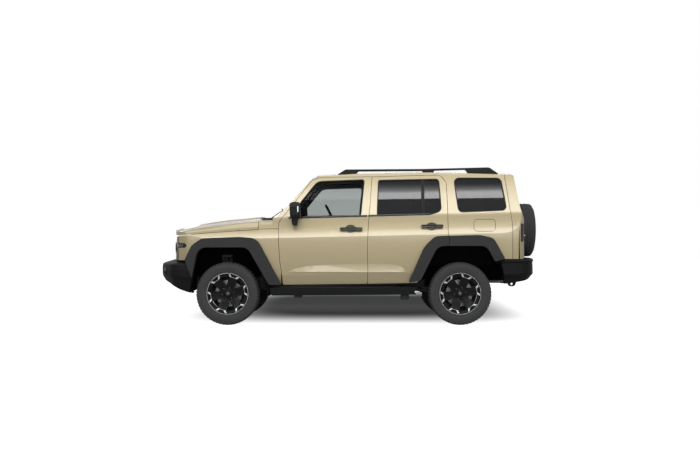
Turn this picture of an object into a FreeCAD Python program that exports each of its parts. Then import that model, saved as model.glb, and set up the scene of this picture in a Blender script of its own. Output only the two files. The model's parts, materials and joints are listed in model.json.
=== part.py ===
"""Lifted off-road 4x4, five doors, body on a ladder frame.

Frame: +X forward, +Y to the vehicle's left, +Z up, millimetres.
The origin is on the ground under the middle of the vehicle.
Pieces of the left side are mirrored to make the right side.
"""
import FreeCAD, Part
import math
import os

V = FreeCAD.Vector

# Overall layout
WHEELBASE = 2750.0
FRONT_AXLE_X = 1432.0
REAR_AXLE_X = FRONT_AXLE_X - WHEELBASE
FRONT_END_X = 2330.0
REAR_END_X = -2330.0
BODY_RAKE = 0.022

# Gaps
SHUT_GAP = 5.0
POCKET_GAP = 9.0
SEAL_OUT = 2.0
SEAL_WIDTH = 10.0
SEAT_GAP = 0.3
SHUT_DRAFT = 0.22

# Wheels
TYRE_RADIUS = 372.0
TYRE_WIDTH = 258.0
TRACK_HALF = 804.0
SEAT_RADIUS = 228.6
RIM_WIDTH = 214.0
RIM_FLANGE = 18.0
RIM_WALL = 9.0
SPOKE_COUNT = 6
SPOKE_THICKNESS = 34.0
HUB_RADIUS = 78.0
SPINDLE_RADIUS = 32.0
DISC_RADIUS = 160.0
DISC_THICKNESS = 28.0

# Side skin, half section at x = 0: half width, height, corner radius
SKIN_TOP_Z = 1940.0
BODY_BOTTOM_Z = 470.0
SKIN = [
    (872.0, BODY_BOTTOM_Z, 0.0),
    (908.0, 600.0, 180.0),
    (918.0, 850.0, 900.0),
    (925.0, 1050.0, 0.0),
    (906.0, 1108.0, 140.0),
    (886.0, 1283.0, 24.0),
    (843.0, 1520.0, 2000.0),
    (786.0, 1758.0, 40.0),
    (700.0, 1832.0, 50.0),
    (640.0, SKIN_TOP_Z, 0.0),
]
CREASE_HALF = 925.0
DOOR_THICKNESS = 104.0
FRAME_THICKNESS = 46.0
PILLAR_DEPTH = 42.0
BELT_Z = 1272.0
WALL = 45.0
FLOOR_Z = 530.0
FLOOR_THICKNESS = 28.0
REAR_FLOOR_Z = 690.0
REAR_FLOOR_FRONT_X = -900.0
TUNNEL_HALF = 180.0
TUNNEL_TOP_Z = 690.0
TUNNEL_REAR_X = 120.0

# Side profile of the cab at half width 650: x, height, radius
FIREWALL_X = 1066.0
FIREWALL_WALL = 52.0
PROFILE_HALF = 650.0
ROOF_CROWN = 30.0
SCREEN_BOW = 18.0
TAIL_BOW = 14.0
TAIL_X = -2094.0
TAIL_WALL = 92.0
SHUT_TAIL_X = -1934.0
BUFFER_HALF = 838.0
BUFFER_Z = 930.0
BUFFER_RADIUS = 12.0

# Windscreen and windows
SCREEN_TILT = 47.5
GLASS = 5.0
GLASS_INSET = 12.0
FRONT_WINDOW = [(705, 1277, 20), (372, 1702, 120), (-185, 1723, 24), (-140, 1294, 20)]
REAR_WINDOW = [(-338, 1294, 20), (-354, 1716, 24), (-868, 1727, 8), (-868, 1308, 8)]
REAR_VENT = [(-893, 1309, 8), (-893, 1727, 8), (-1070, 1731, 40), (-1096, 1350, 60), (-960, 1309, 90)]
QUARTER_WINDOW = [(-1303, 1338, 50), (-1250, 1744, 55), (-1808, 1742, 60), (-1868, 1362, 45)]
SCREEN_BASE_Z = 1312.0
SCREEN_TOP_Z = 1704.0
SCREEN_BASE_HALF = 765.0
SCREEN_TOP_HALF = 655.0
TAIL_WINDOW_BASE_Z = 1385.0
TAIL_WINDOW_TOP_Z = 1700.0
TAIL_WINDOW_HALF = 600.0

# Doors, seen from the side on the skin: x, height, radius
FRONT_DOOR = [
    (778, 478, 14),
    (812, 760, 700),
    (828, 1000, 400),
    (824, 1218, 60),
    (418, 1737, 150),
    (283, 1752, 500),
    (-276, 1758, 12),
    (-239, 1313, 900),
    (-217, 1000, 900),
    (-217, 489, 14),
]
REAR_DOOR = [
    (-222, 489, 14),
    (-222, 1000, 900),
    (-244, 1313, 900),
    (-281, 1758, 12),
    (-1088, 1780, 90),
    (-1158, 1690, 60),
    (-1175, 1086, 500),
    (-1175, 935, 40),
    (-1060, 935, 120),
    (-826, 500, 20),
]
FRONT_APERTURE = [
    (742, 556, 60), (752, 1000, 60), (745, 1232, 60), (396, 1678, 130), (-190, 1700, 40),
    (-150, 1000, 400), (-150, 556, 60),
]
REAR_APERTURE = [
    (-300, 556, 60), (-300, 1000, 400), (-350, 1700, 40), (-1040, 1722, 70), (-1095, 1640, 60),
    (-1110, 1010, 80), (-1000, 960, 100), (-800, 556, 60),
]

# Wheel arches, measured from the axle: forward, height, radius
ARCH_FRONT_FLARE = [
    (395, 500, 10), (500, 775, 40), (418, 945, 130), (300, 1026, 90), (-150, 1044, 300),
    (-350, 1026, 150), (-465, 810, 300), (-628, 500, 14), (-628, 478, 0),
]
ARCH_FRONT_OPENING = [(452, 400, 0), (345, 920, 120), (-238, 920, 110), (-546, 385, 0)]
ARCH_REAR_FLARE = [
    (614, 500, 14), (430, 925, 300), (300, 1052, 110), (-230, 1066, 300), (-390, 1030, 110),
    (-525, 785, 14),
]
ARCH_REAR_OPENING = [(545, 385, 0), (268, 938, 130), (-305, 938, 110), (-440, 700, 40), (-520, 385, 0)]
ARCH_LIP = 20.0
FLARE_HALF = 963.0
FLARE_INNER_HALF = 862.0
WHEELHOUSE_HALF = 640.0
WHEELHOUSE_WALL = 22.0

# Nose
NOSE_FRONT_X = 2160.0
HOOD_REAR_X = FIREWALL_X + SHUT_GAP
HOOD_FRONT_X = 2068.0
HOOD_THICKNESS = 40.0
HOOD_NOSE_STEP = 4.0
GRILLE_STEP = 2.0
FENDER_INNER_HALF = 846.0
GRILLE_DEPTH = 62.0
GRILLE_BOTTOM_Z = 768.0
GRILLE_TOP_Z = 1046.0
LAMP_RADIUS = 92.0
LAMP_HALF = 640.0
LAMP_Z = 915.0
LAMP_SLOT = [(1912, 938, 4), (1940, 971, 8), (2060, 971, 4), (2060, 915, 4), (1938, 915, 8)]
SHUT_LINE = [(2120, 1052, 0), (2028, 1058, 200), (1690, 1090, 900), (1286, 1121, 900), (860, 1146, 0)]

# Bumpers
REAR_BUMPER_TOP_Z = 778.0
BUMPER_DEPTH = 150.0
BUMPER_PLAN_RADIUS = 1900.0
BUMPER_CORNER_RADIUS = 190.0
BUMPER_HALF = 952.0
REAR_BUMPER_PLAN_RADIUS = 3000.0
REAR_BUMPER_CORNER_RADIUS = 190.0
REAR_BUMPER_X = REAR_END_X + 34.0

# Running gear
RAIL_HALF = 400.0
RAIL_WIDTH = 70.0
RAIL_BOTTOM_Z = 400.0
RAIL_HEIGHT = 108.0
RAIL_KICK = 130.0
KINGPIN_HALF = 735.0
STEER_ARM_BACK = 115.0
STEER_ARM_IN = 120.0
ARM_THICKNESS = 30.0
BALL_JOINT_HALF = 122.0
ARM_SPREAD = 160.0
ARM_EYE_HALF = 15.0
ARM_EYE_OUT = 18.0
RACK_RADIUS = 26.0
RACK_Z = TYRE_RADIUS - 84.0
STRUT_X = FRONT_AXLE_X + 55.0
STRUT_TOP_Z = 798.0
SPRING_RADIUS = 34.0
AXLE_TUBE_RADIUS = 42.0
FRONT_BEAM_X = 2060.0
FRONT_BEAM_TOP_Z = RAIL_BOTTOM_Z + RAIL_HEIGHT + 20.0
REAR_BEAM_X = -2060.0
REAR_BEAM_BOTTOM_Z = RAIL_BOTTOM_Z + RAIL_KICK + 30.0
EYE_X = -2000.0
EYE_Z = 466.0
EYE_RADIUS = 14.0
EYE_PLATE = 18.0

# Outside gear
SPARE_RADIUS = 332.0
SPARE_Z = 1127.0
SPARE_FRONT_X = -2122.0
SPARE_BRACKET_RADIUS = 95.0
ROOF_RAIL_HALF = 640.0
STEP_TOP_Z = 448.0
STEP_BOTTOM_Z = 344.0
STEP_HALF = 940.0
STEP_WIDTH = 90.0
STEP_BRACKETS_X = (590.0, -640.0)
OUTRIGGER_HALF = 790.0

# Cabin
SEAT_HALF = 370.0
SEAT_WIDTH = 500.0
HEADREST_HALF = 125.0
FRONT_SEAT_X = 60.0
BENCH_X = -700.0
BENCH_PLACE = 403.0
STEER_WHEEL_RADIUS = 180.0
STEER_WHEEL_TILT = 27.0


def rounded_wire(points, place):
    """A closed wire through (u, v, radius) corners, each corner an arc where its radius is not zero."""
    spots = []
    for index, corner in enumerate(points):
        u, v, radius = corner
        before = points[index - 1]
        after = points[(index + 1) % len(points)]
        here = V(u, v, 0)
        back = V(before[0] - u, before[1] - v, 0)
        ahead = V(after[0] - u, after[1] - v, 0)
        turn = math.pi - back.getAngle(ahead)
        if radius <= 0 or turn < 0.002:
            spots.append([here])
            continue
        reach = min(radius * math.tan(turn / 2), 0.48 * back.Length, 0.48 * ahead.Length)
        bend = reach / math.tan(turn / 2)
        back.normalize()
        ahead.normalize()
        middle = (back + ahead).normalize() * (bend / math.cos(turn / 2) - bend)
        spots.append([here + back * reach, here + middle, here + ahead * reach])
    edges = []
    for index, spot in enumerate(spots):
        if len(spot) == 3:
            edges.append(Part.Arc(place(spot[0]), place(spot[1]), place(spot[2])).toShape())
        start = place(spot[-1])
        end = place(spots[(index + 1) % len(spots)][0])
        if (end - start).Length > 0.001:
            edges.append(Part.LineSegment(start, end).toShape())
    return Part.Wire(edges)


def side_wire(points, y):
    """A wire in the side view, at the half width y."""
    return rounded_wire(points, lambda p: V(p.x, y, p.y))


def side_prism(points, y_from, y_to, shift=(0.0, 0.0)):
    """A side-view outline made solid from one half width to another."""
    moved = [(u + shift[0], v + shift[1], r) for u, v, r in points]
    return Part.Face(side_wire(moved, y_from)).extrude(V(0, y_to - y_from, 0))


def front_prism(points, x_from, x_to):
    """A front-view outline of (half width, height, radius) made solid along X."""
    face = Part.Face(rounded_wire(points, lambda p: V(x_from, p.x, p.y)))
    return face.extrude(V(x_to - x_from, 0, 0))


def plan_prism(points, z_from, z_to):
    """A plan outline of (x, half width, radius) made solid between two heights."""
    face = Part.Face(rounded_wire(points, lambda p: V(p.x, p.y, z_from)))
    return face.extrude(V(0, 0, z_to - z_from))


def block(x0, x1, y0, y1, z0, z1):
    """A box between two corners."""
    return Part.makeBox(x1 - x0, y1 - y0, z1 - z0, V(x0, y0, z0))


def rod(start, end, radius):
    """A round bar between two points."""
    along = V(*end) - V(*start)
    return Part.makeCylinder(radius, along.Length, V(*start), along)


def lathe(profile, centre, axis=V(0, 1, 0)):
    """A solid turned about an axis through centre, from (distance along the axis, radius, bend) corners."""
    side = V(1, 0, 0) if abs(axis.x) < 0.5 else V(0, 0, 1)
    wire = rounded_wire(profile, lambda p: centre + axis * p.x + side * p.y)
    return Part.Face(wire).revolve(centre, axis, 360)


def mirror(shape):
    """The same piece on the other side of the vehicle."""
    return shape.mirror(V(0, 0, 0), V(0, 1, 0))


def both_sides(shape):
    """A piece and its mirror image, as separate solids."""
    return Part.makeCompound([shape, mirror(shape)])


def fuse(shapes):
    """One solid out of several that meet."""
    return shapes[0].fuse(shapes[1:]).removeSplitter()


def solids_of(shape):
    """The solids of a shape, without stray faces."""
    kept = [solid for solid in shape.Solids if solid.Volume > 200.0]
    return kept[0] if len(kept) == 1 else Part.makeCompound(kept)


def largest_of(shape):
    """The largest solid of a shape."""
    return max(shape.Solids, key=lambda solid: solid.Volume)


def export(name, shape):
    """Write one piece to its own file."""
    solids_of(shape).exportStep("parts/" + name + ".step")


def mirrored_section(half):
    """A whole section from its left half, bottom to top."""
    right = [(-y, z, r) for y, z, r in reversed(half)]
    return half + right


def raked_prism(half, x_from, x_to):
    """A body section drawn at x = 0, run along the raked belt line between two stations."""
    run = x_to - x_from
    lift = -BODY_RAKE * x_from
    wire = rounded_wire(mirrored_section(half), lambda p: V(x_from, p.x, p.y + lift))
    return Part.Face(wire).extrude(V(run, 0, -BODY_RAKE * run))


def skin_half_width(x, z):
    """Half width of the skin at a side-view point, between the corners of the section."""
    level = z + BODY_RAKE * x
    for lower, upper in zip(SKIN, SKIN[1:]):
        if level <= upper[1]:
            share = max(0.0, (level - lower[1]) / (upper[1] - lower[1]))
            return lower[0] + share * (upper[0] - lower[0])
    return SKIN[-1][0]


def drafted_prism(outline, grow=0.0):
    """A door outline cut through the body side, drafted so that the door's inner edges clear as it turns.

    The outline is given on the skin. Each corner is carried along the draft to a plane outside the body.
    """
    outer = CREASE_HALF + 40.0
    depth = 400.0
    placed = []
    for x, z, radius in outline:
        slide = SHUT_DRAFT * (outer - skin_half_width(x, z))
        placed.append((x - slide, z, radius))
    if grow:
        placed = offset_outline(placed, grow)
    face = Part.Face(side_wire(placed, outer))
    return face.extrude(V(SHUT_DRAFT * depth, -depth, 0))


def offset_outline(points, distance):
    """The outline with every edge moved out by a distance, or in where it is negative."""
    area = sum(a[0] * b[1] - b[0] * a[1] for a, b in zip(points, points[1:] + points[:1]))
    sign = 1.0 if area > 0 else -1.0
    moved = []
    for index, corner in enumerate(points):
        here = V(corner[0], corner[1], 0)
        before = V(points[index - 1][0], points[index - 1][1], 0)
        after = V(points[(index + 1) % len(points)][0], points[(index + 1) % len(points)][1], 0)
        inward = (here - before).normalize()
        outward = (after - here).normalize()
        normal_in = V(inward.y, -inward.x, 0) * sign
        normal_out = V(outward.y, -outward.x, 0) * sign
        both = normal_in + normal_out
        step = both * (2 * distance / both.dot(both))
        radius = corner[2]
        if radius > 0:
            turn_left = (inward.x * outward.y - inward.y * outward.x) * sign > 0
            radius = max(0.5, radius + (distance if turn_left else -distance))
        moved.append((here.x + step.x, here.y + step.y, radius))
    return moved


def arch_outline(points, axle_x, grow=0.0):
    """An arch outline placed at its axle."""
    placed = [(axle_x + x, z, r) for x, z, r in points]
    return offset_outline(placed, grow) if grow else placed


def inner_half(offset):
    """Inner side of the doors, moved inward by an offset. It steps out at the belt to the window frame."""
    low = DOOR_THICKNESS + offset
    high = FRAME_THICKNESS + offset
    return [
        (868.0 - low, 380.0, 0.0),
        (908.0 - low, 600.0, 0.0),
        (918.0 - low, 1050.0, 0.0),
        (890.0 - low, BELT_Z - 24.0, 0.0),
        (884.0 - high, BELT_Z + 16.0, 0.0),
        (843.0 - high, 1520.0, 0.0),
        (782.0 - high, 1775.0, 0.0),
        (700.0 - high, SKIN_TOP_Z + 60.0, 0.0),
    ]


def cabin_half():
    """The hollow of the cabin, in section at x = 0."""
    low = DOOR_THICKNESS + POCKET_GAP + PILLAR_DEPTH
    high = FRAME_THICKNESS + POCKET_GAP + PILLAR_DEPTH
    return [
        (868.0 - low, 380.0, 0.0),
        (908.0 - low, 600.0, 0.0),
        (918.0 - low, 1050.0, 0.0),
        (890.0 - low, BELT_Z - 60.0, 0.0),
        (884.0 - high, BELT_Z + 10.0, 0.0),
        (843.0 - high, 1520.0, 0.0),
        (775.0 - high, 1768.0, 40.0),
        (560.0, SKIN_TOP_Z, 0.0),
    ]


def outer_profile(bow_screen, bow_tail, crown):
    """Side profile of the cab skin at one half width."""
    return [
        (FIREWALL_X, BODY_BOTTOM_Z - 20.0, 0.0),
        (FIREWALL_X, 1262.0, 10.0),
        (872.0 + bow_screen, 1270.0, 20.0),
        (404.0 + bow_screen, 1779.0 + crown, 230.0),
        (-100.0, 1806.0 + crown, 1500.0),
        (-1000.0, 1823.0 + crown, 2500.0),
        (-1966.0 - bow_tail, 1799.0 + crown, 26.0),
        (-2044.0 - bow_tail, 1372.0, 260.0),
        (TAIL_X - bow_tail, 1238.0, 40.0),
        (TAIL_X - bow_tail, REAR_BUMPER_TOP_Z + SHUT_GAP, 12.0),
        (REAR_FLOOR_FRONT_X - 880.0, REAR_BUMPER_TOP_Z + SHUT_GAP, 0.0),
        (REAR_FLOOR_FRONT_X - 850.0, REAR_FLOOR_Z, 0.0),
        (REAR_FLOOR_FRONT_X, REAR_FLOOR_Z, 0.0),
        (REAR_FLOOR_FRONT_X, BODY_BOTTOM_Z - 20.0, 0.0),
    ]


def inner_profile():
    """Side profile of the cabin hollow."""
    toe_x = FIREWALL_X - FIREWALL_WALL
    return [
        (toe_x - 85.0, FLOOR_Z + FLOOR_THICKNESS, 0.0),
        (toe_x, 735.0, 0.0),
        (toe_x, 1160.0, 0.0),
        (815.0, 1206.0, 0.0),
        (384.0, 1722.0, 190.0),
        (-100.0, 1806.0 - WALL, 1500.0),
        (-1000.0, 1823.0 - WALL, 2500.0),
        (-1900.0, 1799.0 - WALL, 20.0),
        (-2044.0 + TAIL_WALL, 1372.0, 200.0),
        (TAIL_X + TAIL_WALL, 1238.0, 40.0),
        (TAIL_X + TAIL_WALL, REAR_BUMPER_TOP_Z + SHUT_GAP + FLOOR_THICKNESS, 0.0),
        (REAR_FLOOR_FRONT_X - 850.0, REAR_BUMPER_TOP_Z + SHUT_GAP + FLOOR_THICKNESS, 0.0),
        (REAR_FLOOR_FRONT_X - 820.0, REAR_FLOOR_Z + FLOOR_THICKNESS, 0.0),
        (REAR_FLOOR_FRONT_X + FLOOR_THICKNESS, REAR_FLOOR_Z + FLOOR_THICKNESS, 0.0),
        (REAR_FLOOR_FRONT_X + FLOOR_THICKNESS, FLOOR_Z + FLOOR_THICKNESS, 0.0),
    ]


def cab_outer():
    """Outer volume of the cab, from the raked side section and the crowned, bowed profile."""
    stations = [
        (-1000.0, -SCREEN_BOW, -TAIL_BOW, -ROOF_CROWN * 1.37),
        (-PROFILE_HALF, 0.0, 0.0, 0.0),
        (0.0, SCREEN_BOW, TAIL_BOW, ROOF_CROWN),
        (PROFILE_HALF, 0.0, 0.0, 0.0),
        (1000.0, -SCREEN_BOW, -TAIL_BOW, -ROOF_CROWN * 1.37),
    ]
    wires = [side_wire(outer_profile(screen, tail, crown), y) for y, screen, tail, crown in stations]
    profile = Part.makeLoft(wires, True, False)
    sides = raked_prism(SKIN, -2200.0, 1200.0)
    return sides.common(profile).common(plan_volume())


def plan_outline():
    """Plan outline of the painted body, with its rounded nose and tail corners."""
    half = [
        (NOSE_FRONT_X, 0.0, 0.0),
        (NOSE_FRONT_X - 28.0, 360.0, 900.0),
        (2078.0, 690.0, 300.0),
        (2030.0, 850.0, 90.0),
        (1900.0, 906.0, 300.0),
        (1560.0, 932.0, 1500.0),
        (1000.0, 940.0, 0.0),
        (-1500.0, 940.0, 900.0),
        (-1900.0, 922.0, 500.0),
        (-2068.0, 896.0, 90.0),
        (-2112.0, 700.0, 200.0),
        (-2124.0, 0.0, 0.0),
    ]
    right = [(x, -y, r) for x, y, r in reversed(half) if y > 0]
    return half + right


def plan_volume():
    """The plan outline as a tall solid."""
    return plan_prism(plan_outline(), 300.0, 2050.0)


def hood_half(row, drop):
    """Left half of a bonnet section at one station, moved in by a drop for the underside."""
    edge_half, edge_z, shoulder, fold, bulge, crest_z = row
    return [
        (edge_half - drop, edge_z - 60.0, 0.0),
        (edge_half - drop - 6.0, edge_z + 34.0 - drop * 0.4, 30.0),
        (shoulder[0] - drop, shoulder[1] - drop, 70.0),
        (fold[0] - drop * 0.4, fold[1] - drop, 40.0),
        (bulge[0] - drop * 0.4, bulge[1] - drop, 40.0),
        (0.0, crest_z - drop, 900.0),
    ]


def full_half(half):
    """A section whose last corner lies on the centre line, completed with its other half."""
    return half + [(-y, z, r) for y, z, r in reversed(half[:-1])]


# Bonnet stations: x, then edge half width, edge height, shoulder, fold, bulge edge and crest height
HOOD_STATIONS = [
    (FIREWALL_X, (918.0, 1136.0, (862.0, 1228.0), (570.0, 1256.0), (486.0, 1284.0), 1291.0)),
    (1450.0, (914.0, 1113.0, (858.0, 1191.0), (556.0, 1222.0), (476.0, 1248.0), 1258.0)),
    (1820.0, (905.0, 1082.0, (835.0, 1142.0), (535.0, 1171.0), (462.0, 1194.0), 1206.0)),
    (HOOD_FRONT_X + 80.0, (880.0, 1052.0, (790.0, 1086.0), (510.0, 1103.0), (440.0, 1114.0), 1122.0)),
]


def hood_volume(drop):
    """The bonnet's outer volume, or its underside where a drop is given."""
    wires = []
    for x, row in HOOD_STATIONS:
        wires.append(rounded_wire(full_half(hood_half(row, drop)), lambda p, x=x: V(x, p.x, p.y)))
    return Part.makeLoft(wires, True, False)


def build_hood():
    """The bonnet, hinged at its rear edge, with its raised middle and its skirts down to the shut line."""
    nose = plan_volume().translated(V(-HOOD_NOSE_STEP, 0, 0))
    shell = hood_volume(0.0).common(nose).cut(hood_volume(HOOD_THICKNESS))
    above = [(2200.0, SHUT_LINE[0][1], 0.0)] + SHUT_LINE[1:] + [(860.0, 1500.0, 0.0), (2200.0, 1500.0, 0.0)]
    room = block(HOOD_REAR_X, 2200.0, -1000.0, 1000.0, 900.0, 1500.0)
    return shell.common(side_prism(above, -1000.0, 1000.0)).common(room)


def build_fenders():
    """Front wings: the side skin from the nose to the front door, under the bonnet's shut line."""
    side = raked_prism(SKIN, 700.0, 2250.0).common(plan_volume())
    under_shut = [(x, z - SHUT_GAP, r) for x, z, r in SHUT_LINE]
    outline = under_shut[:-1] + [
        (FIREWALL_X, 1133.0, 0.0), (700.0, 1141.0, 0.0), (700.0, 484.0, 0.0), (1500.0, 484.0, 0.0),
        (1800.0, 768.0, 0.0), (2120.0, 768.0, 0.0)]
    wing = side.common(side_prism(outline, FENDER_INNER_HALF, 1000.0))
    wing = wing.cut(drafted_prism(FRONT_DOOR, SHUT_GAP))
    wing = wing.cut(side_prism(arch_outline(ARCH_FRONT_OPENING, FRONT_AXLE_X, ARCH_LIP), 700.0, 1000.0))
    wing = wing.cut(block(400.0, 800.0, 700.0, 1000.0, 300.0, 1300.0))
    wing = wing.cut(side_prism(LAMP_SLOT, 700.0, 1000.0))
    return largest_of(wing)


def screen_normal(distance):
    """A step inward, square to the windscreen."""
    angle = math.radians(SCREEN_TILT)
    return V(-math.sin(angle) * distance, 0, -math.cos(angle) * distance)


def screen_outline(grow):
    """Windscreen outline seen from the front."""
    base = SCREEN_BASE_HALF + grow
    top = SCREEN_TOP_HALF + grow
    low = SCREEN_BASE_Z - grow
    high = SCREEN_TOP_Z + grow
    return [(base, low, 60.0), (top, high, 70.0), (-top, high, 70.0), (-base, low, 60.0)]


def tail_window_outline(grow):
    """Tailgate window outline seen from behind."""
    half = TAIL_WINDOW_HALF + grow
    low = TAIL_WINDOW_BASE_Z - grow
    high = TAIL_WINDOW_TOP_Z + grow
    return [(half, low, 50.0), (half - 20.0, high, 60.0), (-half + 20.0, high, 60.0), (-half, low, 50.0)]


def tail_region():
    """The space behind the shut line between body side and tailgate."""
    return [
        (-1838.0, 1900.0, 0.0), (-1870.0, 1638.0, 900.0), (-1903.0, 1399.0, 600.0), (SHUT_TAIL_X, 1200.0, 600.0),
        (SHUT_TAIL_X, 700.0, 0.0), (-2300.0, 700.0, 0.0), (-2300.0, 1900.0, 0.0),
    ]


def shut_side(points, gap):
    """A region moved back by a gap."""
    return [(x - gap, z, r) for x, z, r in points]


def build_cab(outer):
    """The cab shell: sides, roof, pillars, floor, sills, firewall and rear wheelhouses as one welded body."""
    cabin = raked_prism(cabin_half(), -2200.0, 1100.0)
    cabin = cabin.common(side_prism(inner_profile(), -900.0, 900.0))
    rear_house = arch_outline(ARCH_REAR_OPENING, REAR_AXLE_X, ARCH_LIP)
    house_wall = arch_outline(ARCH_REAR_OPENING, REAR_AXLE_X, ARCH_LIP + WHEELHOUSE_WALL)
    walls = [
        side_prism(house_wall, WHEELHOUSE_HALF - WHEELHOUSE_WALL, 1000.0),
        side_prism(house_wall, -1000.0, -WHEELHOUSE_HALF + WHEELHOUSE_WALL),
        block(TUNNEL_REAR_X, 1100.0, -TUNNEL_HALF, TUNNEL_HALF, 400.0, TUNNEL_TOP_Z),
    ]
    shell = outer.cut(cabin.cut(walls))
    tunnel_wall = FLOOR_THICKNESS
    tools = [
        side_prism(tail_region(), -1100.0, 1100.0),
        block(REAR_FLOOR_FRONT_X - 20.0, 1100.0, -720.0, 720.0, 300.0, FLOOR_Z),
        block(TUNNEL_REAR_X + tunnel_wall, 1100.0, -TUNNEL_HALF + tunnel_wall, TUNNEL_HALF - tunnel_wall,
              300.0, TUNNEL_TOP_Z - tunnel_wall),
        front_prism(screen_outline(SEAT_GAP), 300.0, 1000.0),
        block(FIREWALL_X - 166.0, 1100.0, -1000.0, 1000.0, 1140.0, 1400.0).cut(cowl_volume()),
    ]
    for side in (1, -1):
        cuts = [
            door_pocket(FRONT_DOOR, FRONT_APERTURE),
            door_pocket(REAR_DOOR, REAR_APERTURE),
            side_prism(FRONT_APERTURE, 500.0, 1000.0),
            side_prism(REAR_APERTURE, 500.0, 1000.0).cut(walls[0]),
            side_prism(offset_outline(QUARTER_WINDOW, SEAT_GAP), 500.0, 1000.0),
            side_prism(rear_house, WHEELHOUSE_HALF, 1000.0),
            side_prism(arch_outline(ARCH_FRONT_OPENING, FRONT_AXLE_X, ARCH_LIP), 430.0, 1000.0),
            side_prism([(700.0, 1146.0, 0.0), (FIREWALL_X + 20.0, 1138.0, 0.0), (FIREWALL_X + 20.0, 300.0, 0.0),
                        (700.0, 300.0, 0.0)], FENDER_INNER_HALF - SHUT_GAP, 1000.0),
            fuel_flap_volume(SHUT_GAP),
        ]
        tools += cuts if side > 0 else [mirror(cut) for cut in cuts[:-1]]
    shell = largest_of(shell.cut(tools))
    buffers = []
    for side in (1, -1):
        buffers.append(rod((SHUT_TAIL_X + 2.0, side * BUFFER_HALF, BUFFER_Z),
                           (SHUT_TAIL_X - SHUT_GAP + SEAT_GAP, side * BUFFER_HALF, BUFFER_Z), BUFFER_RADIUS))
    inner_skin = outer.translated(V(0, -FLAP_THICKNESS - SEAT_GAP, 0))
    stop = rod((FLAP_STOP_X, FLAP_POCKET_HALF - 2.0, FLAP_STOP_Z), (FLAP_STOP_X, 1000.0, FLAP_STOP_Z), 12.0)
    buffers.append(stop.common(inner_skin))
    return shell.fuse(buffers)


PANEL_JOIN_HALF = 600.0
ROOF_JOIN_Z = 1600.0


def cab_panels(shell):
    """The cab shell parted at its welds: side frames, roof panel, and the floor pan with the firewall."""
    side = block(-2300.0, 1200.0, PANEL_JOIN_HALF, 1100.0, 0.0, 2100.0)
    roof = block(-2300.0, 1200.0, -PANEL_JOIN_HALF, PANEL_JOIN_HALF, ROOF_JOIN_Z, 2100.0)
    floor = block(-2300.0, 1200.0, -PANEL_JOIN_HALF, PANEL_JOIN_HALF, 0.0, ROOF_JOIN_Z)
    return {
        "side_frame_left": shell.common(side), "side_frame_right": shell.common(mirror(side)),
        "roof_panel": shell.common(roof), "floor_pan": shell.common(floor),
    }


def door_pocket(outline, aperture):
    """The recess a door closes into, but for the raised seal round the aperture."""
    recess = drafted_prism(outline, SHUT_GAP).cut(raked_prism(inner_half(POCKET_GAP), -2200.0, 1300.0))
    ring = side_prism(offset_outline(aperture, SEAL_OUT + SEAL_WIDTH), 500.0, 1000.0)
    ring = ring.cut(side_prism(offset_outline(aperture, SEAL_OUT), 400.0, 1100.0))
    return recess.cut(ring.common(raked_prism(inner_half(SEAT_GAP), -2200.0, 1300.0)))


def cowl_volume():
    """The bonnet's rear section run back over the cowl."""
    points = full_half(hood_half(HOOD_STATIONS[0][1], 0.0))
    return front_prism(points, 860.0, 1100.0)


FUEL_FLAP = [(-1482, 1113, 42), (-1482, 1249, 42), (-1731, 1249, 42), (-1731, 1113, 42)]
FLAP_THICKNESS = 8.0
FLAP_POCKET_HALF = 855.0
FLAP_STOP_X = -1700.0
FLAP_STOP_Z = 1180.0


def fuel_flap_volume(grow):
    """The fuel flap's outline, cut into the left rear quarter."""
    return side_prism(offset_outline(FUEL_FLAP, grow), FLAP_POCKET_HALF, 1000.0)


def build_fuel_flap(outer):
    """The fuel flap on the left rear quarter."""
    plate = outer.common(fuel_flap_volume(0.0))
    behind = outer.translated(V(0, -FLAP_THICKNESS, 0))
    return plate.cut(behind)


def build_door(outer, outline, windows):
    """A left door: the body side inside its outline, as thick as the door, with its windows cut."""
    panel = outer.common(drafted_prism(outline))
    panel = panel.cut(raked_prism(inner_half(0.0), -2200.0, 1300.0))
    cuts = [side_prism(offset_outline(window, SEAT_GAP), 500.0, 1000.0) for window in windows]
    cuts.append(side_prism(arch_outline(ARCH_REAR_OPENING, REAR_AXLE_X, ARCH_LIP), 500.0, 1000.0))
    cuts.append(block(-3000.0, 3000.0, -1000.0, 300.0, 0.0, 2500.0))
    panel = panel.cut(cuts)
    return largest_of(panel)


# Top edge of the doors' pressed swage in the side view; its sharp foot runs level below it
SWAGE_TOP = [(704.0, 636.0), (687.0, 648.0), (622.0, 671.0), (457.0, 706.0), (221.0, 718.0), (-216.0, 725.0),
             (-487.0, 721.0), (-593.0, 706.0), (-652.0, 671.0), (-668.0, 640.0)]
SWAGE_FOOT_Z = 628.0
SWAGE_PROUD = 12.0
SWAGE_SINK = 6.0


def swage_volume():
    """The long wedge that stands proud of both left doors, sharp along its foot and faired out at its top."""
    wires = []
    full = max(top for _, top in SWAGE_TOP) - SWAGE_FOOT_Z
    for x, top in SWAGE_TOP:
        foot_half = skin_half_width(x, SWAGE_FOOT_Z)
        top_half = skin_half_width(x, top)
        proud = SWAGE_PROUD * math.sqrt((top - SWAGE_FOOT_Z) / full)
        wires.append(Part.makePolygon([
            V(x, foot_half - SWAGE_SINK, SWAGE_FOOT_Z), V(x, foot_half + proud, SWAGE_FOOT_Z),
            V(x, top_half - SEAT_GAP, top), V(x, top_half - SWAGE_SINK, top),
            V(x, foot_half - SWAGE_SINK, SWAGE_FOOT_Z)]))
    return Part.makeLoft(wires, True, True)


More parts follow.
